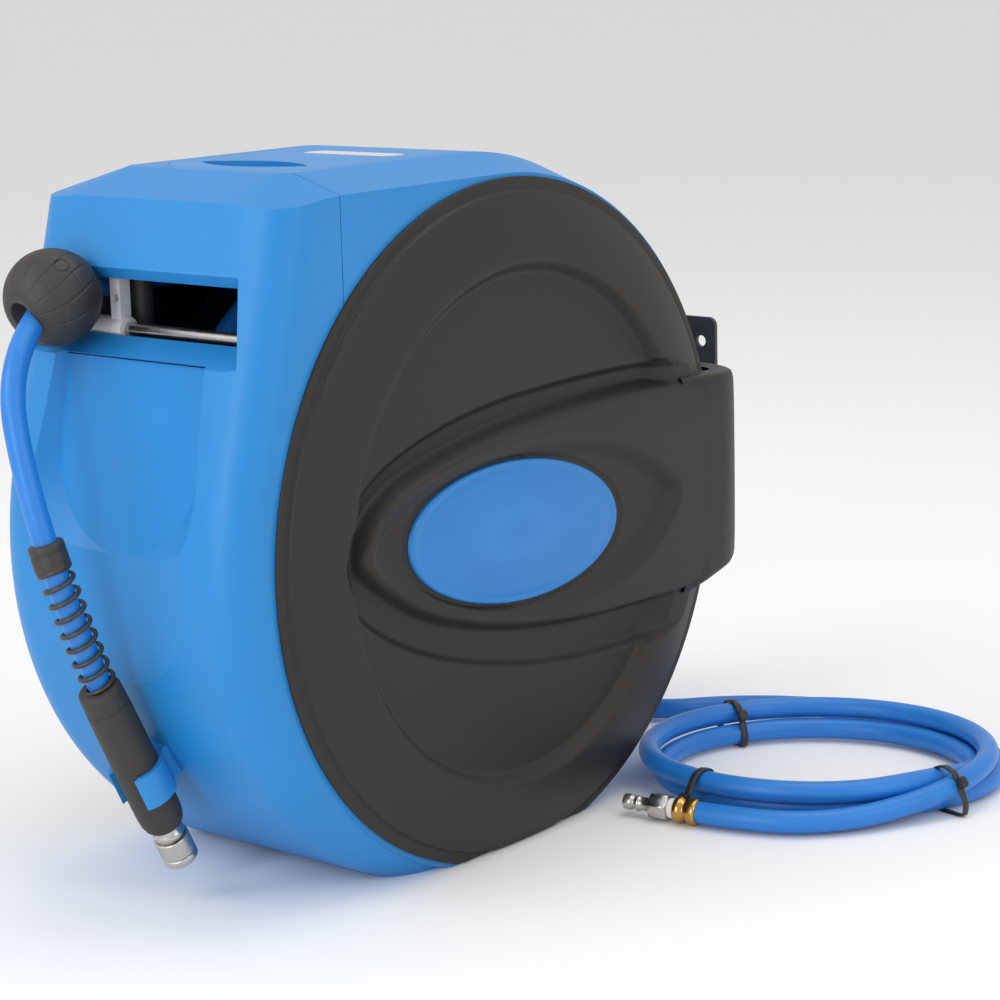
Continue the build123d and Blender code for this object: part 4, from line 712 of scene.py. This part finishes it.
def cover_height(points):
    """Height of the cover beyond the case's flat side, at (y, z - axis) places."""
    r = np.hypot(points[:, 0], points[:, 1])
    h = np.full(len(points), RIM_HEIGHT)
    h = np.where(r < STEP_RADIUS, RIM_HEIGHT + STEP_HEIGHT * ease(STEP_RADIUS - r), h)
    crown = np.clip((CROWN_RADIUS - r) / CROWN_WIDTH, 0, 1)
    rise = CROWN_HEIGHT * np.sin(crown * math.pi / 2) ** 0.9
    h = np.where(r < CROWN_RADIUS, RIM_HEIGHT + STEP_HEIGHT + rise, h)
    drop = DISH_DEPTH * ease((DISH_RADIUS - r) / DISH_SLOPE)
    h = np.where(r < DISH_RADIUS, RING_HEIGHT - drop, h)
    dish = DISH_HEIGHT + HUB_HEIGHT * ease((HUB_RADIUS - r) / HUB_RADIUS)
    h = np.where(r < DISH_RADIUS - DISH_SLOPE, np.minimum(h, dish), h)

    moat = distance_inside(points, MOAT)
    arm = distance_inside(points, ARM)
    bowl = distance_inside(points, BOWL)
    channel = DISH_HEIGHT - MOAT_DEPTH * ease(moat / MOAT_SLOPE)
    channel = channel + np.clip((r - 150) / 20, 0, 1) * 8
    base = np.where((r < 201) & (moat > 0), np.minimum(h, channel), h)
    top = ARM_FOOT + ARM_HEIGHT * ease((arm + 2.0) / ARM_SLOPE) ** 0.8 + ARM_DOME * ease(arm / 30.0)
    top = np.where(bowl > 0, top - BOWL_DEPTH * ease(bowl / BOWL_SLOPE), top)
    top = np.where(badge_distance(points) < 3.0, np.minimum(top, BADGE_SEAT), top)
    return np.where(arm > -2.0, np.maximum(base, top), base)


radii = np.unique(np.r_[
    0.5, np.linspace(3, 148, 96), np.linspace(149, 162, 14), np.linspace(163, 199, 26),
    199.6, 200.4, 200.9, 201.2, 201.8, 204.0, 207.0, 208.2, RIM_RADIUS,
])
angles = np.linspace(0, 2 * math.pi, 720, endpoint=False)
flat = np.stack([
    radii[:, None] * np.cos(angles)[None],
    radii[:, None] * np.sin(angles)[None],
], axis=-1).reshape(-1, 2)
heights = np.concatenate([cover_height(part) for part in np.array_split(flat, 40)])
on_lip = np.hypot(flat[:, 0], flat[:, 1]) > LIP_RADIUS
heights = np.where(on_lip, np.minimum(heights, LIP_HEIGHT), heights)
skin = np.column_stack([
    HALF_WIDTH + heights, flat[:, 0], np.maximum(flat[:, 1] + AXIS_Z, LOWEST_EDGE),
])
skin = skin.reshape(len(radii), len(angles), 3)
rim = skin[-1].copy()
rim[:, 0] = HALF_WIDTH
skin = np.concatenate([skin, rim[None]], axis=0)
hub = skin[:1].copy()
hub[..., 1], hub[..., 2] = 0.0, AXIS_Z
skin = np.concatenate([hub, skin], axis=0)

for side, facing in (("right", 1), ("left", -1)):
    points = skin * np.array([facing, 1, 1])
    cover = grid_mesh(f"cover_skin_{side}", points, cover_dark, "case",
                      closed_v=True, flip=facing > 0)
    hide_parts(f"side_cover_{side}")

# ---------------------------------------------------------------- arms that wrap round the rear corners
CORNER, OUT_X, REAR_Y = 45.0, 116.6, 245.0
WRAP_START, SINK, SINK_LENGTH = 160.0, 2.0, 28.0
# A station is (y, None) beside the case, (None, degrees) round its corner, or (-x, None) behind.
stations = [(y, None) for y in np.linspace(WRAP_START, 200, 16)]
stations += [(None, bend) for bend in np.linspace(0, 90, 15)[1:]]
stations += [(-x, None) for x in np.linspace(72, 12.5, 12)[1:]]


def arm_place(station):
    """A station's point on the arm's outer face, in plan, with its outward direction."""
    y, bend = station
    if bend is not None:
        a = math.radians(bend)
        out = (math.cos(a), math.sin(a))
        return (OUT_X - CORNER + CORNER * out[0], REAR_Y - CORNER + CORNER * out[1]), out
    if y >= 0:
        return (OUT_X, y), (1.0, 0.0)
    return (-y, REAR_Y), (0.0, 1.0)


def arm_edges(station):
    """Lower and upper edges of the arm at a station, above the drum's axis."""
    (x, y), _ = arm_place(station)
    if x < OUT_X - 1.0:
        y = max(y, 200.0 + (OUT_X - x))
    low = np.interp(y, (160, 171, 203, 240), (-75.6, -75.2, -67.5, -62))
    high = np.interp(y, (160, 203, 240), (66.6, 64.6, 62.5))
    return low, high


half_section = [
    (1.0, -16.0), (1.0, -9.0), (1.0, -3.4), (0.985, -1.6), (0.95, -0.6), (0.90, -0.1),
    (0.7, 0.2), (0.4, 0.35),
]
section = [(-share, lift) for share, lift in half_section] + [(0.0, 0.4)] + half_section[::-1]
rows = []
for station in stations:
    (x, y), (nx, ny) = arm_place(station)
    low, high = arm_edges(station)
    middle, half = (low + high) / 2, (high - low) / 2
    sink = -SINK * (1 - ease((y - WRAP_START) / SINK_LENGTH)) if nx == 1.0 else 0.0
    rows.append([
        (x + nx * (lift + sink), y + ny * lift, AXIS_Z + middle + half * share)
        for share, lift in section
    ])
end = rows[-1]
rows.append([(12.1, p[1] - 0.6, p[2]) for p in end])
rows.append([(12.0, 228.0, p[2]) for p in end])
for side, facing in (("right", 1), ("left", -1)):
    points = np.array(rows) * np.array([facing, 1, 1])
    arm_piece = grid_mesh(f"arm_wrap_{side}", points, cover_dark, "case",
                          flip=facing > 0)
    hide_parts(f"side_arm_{side}")

# ---------------------------------------------------------------- oval plates
def oval_plate(name, centre, across, up, out, length, width):
    """A domed oval plate with a rolled rim."""
    centre, across, up, out = Vector(centre), Vector(across), Vector(up), Vector(out)
    profile = [
        (0.0, 2.6), (0.3, 2.5), (0.6, 2.2), (0.8, 1.8), (0.9, 1.5), (0.935, 1.1),
        (0.955, 1.5), (0.972, 1.6), (0.988, 1.2), (0.997, 0.4), (1.0, -2.0),
    ]
    rows = []
    for share, lift in profile:
        row = []
        for k in range(96):
            a = 2 * math.pi * k / 96
            sideways = across * (length / 2 * share * math.cos(a))
            upward = up * (width / 2 * share * math.sin(a))
            row.append(tuple(centre + sideways + upward + out * lift))
        rows.append(row)
    return grid_mesh(name, rows, badge_blue, "case", closed_v=True)


BADGE_FACE = 110.4                               # middle plane to the badge's back
BADGE_LENGTH, BADGE_WIDTH = 200.0, 87.0
for side, facing in (("right", 1), ("left", -1)):
    centre = (facing * BADGE_FACE, BADGE_Y, AXIS_Z + BADGE_Z)
    across = (0, math.cos(BADGE_TILT) * facing, math.sin(BADGE_TILT) * facing)
    up = (0, -math.sin(BADGE_TILT), math.cos(BADGE_TILT))
    oval_plate(f"badge_plate_{side}", centre, across, up, (facing, 0, 0),
                             BADGE_LENGTH, BADGE_WIDTH)
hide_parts("badges")
rear_plate = oval_plate("rear_plate", (0, REAR_Y + 0.4, AXIS_Z), (-1, 0, 0), (0, 0, 1), (0, 1, 0),
                        176.0, 84.0)
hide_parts("rear_oval")

# ---------------------------------------------------------------- floor and lights
floor_mesh = bpy.data.meshes.new("floor")
floor_mesh.from_pydata([(-60, -60, 0), (60, -60, 0), (60, 60, 0), (-60, 60, 0)], [], [(0, 1, 2, 3)])
floor = bpy.data.objects.new("floor", floor_mesh)
bpy.context.collection.objects.link(floor)
floor_look = bpy.data.materials.new("floor")
floor_look.use_nodes = True
floor_bsdf = floor_look.node_tree.nodes["Principled BSDF"]
floor_bsdf.inputs["Base Color"].default_value = (0.93, 0.93, 0.93, 1)
floor_bsdf.inputs["Roughness"].default_value = 0.9
floor_bsdf.inputs["Specular IOR Level"].default_value = 0.1
floor_mesh.materials.append(floor_look)

world = bpy.data.worlds.new("world")
bpy.context.scene.world = world
world.use_nodes = True
background = world.node_tree.nodes["Background"]
background.inputs["Color"].default_value = (1.0, 1.0, 1.0, 1)
background.inputs["Strength"].default_value = 0.74


def area_light(name, place, target, size, power):
    """A white rectangular light at a place, aimed at a target, in metres and watts."""
    data = bpy.data.lights.new(name, "AREA")
    data.shape = "RECTANGLE"
    data.size, data.size_y = size
    data.energy = power
    lamp = bpy.data.objects.new(name, data)
    lamp.location = place
    lamp.rotation_mode = "QUATERNION"
    lamp.rotation_quaternion = (Vector(place) - Vector(target)).to_track_quat("Z", "Y")
    bpy.context.collection.objects.link(lamp)


area_light("key", (-0.9, -1.9, 1.7), (0, 0, 0.25), (1.2, 1.2), 15)
area_light("front_strip", (0.35, -2.2, 0.75), (0, 0, 0.3), (0.5, 1.4), 11)
area_light("top", (0.3, 0.4, 2.2), (0, 0, 0.2), (1.6, 1.6), 12)
area_light("side", (2.4, -0.2, 1.3), (0, 0.05, 0.2), (1.4, 1.4), 9)
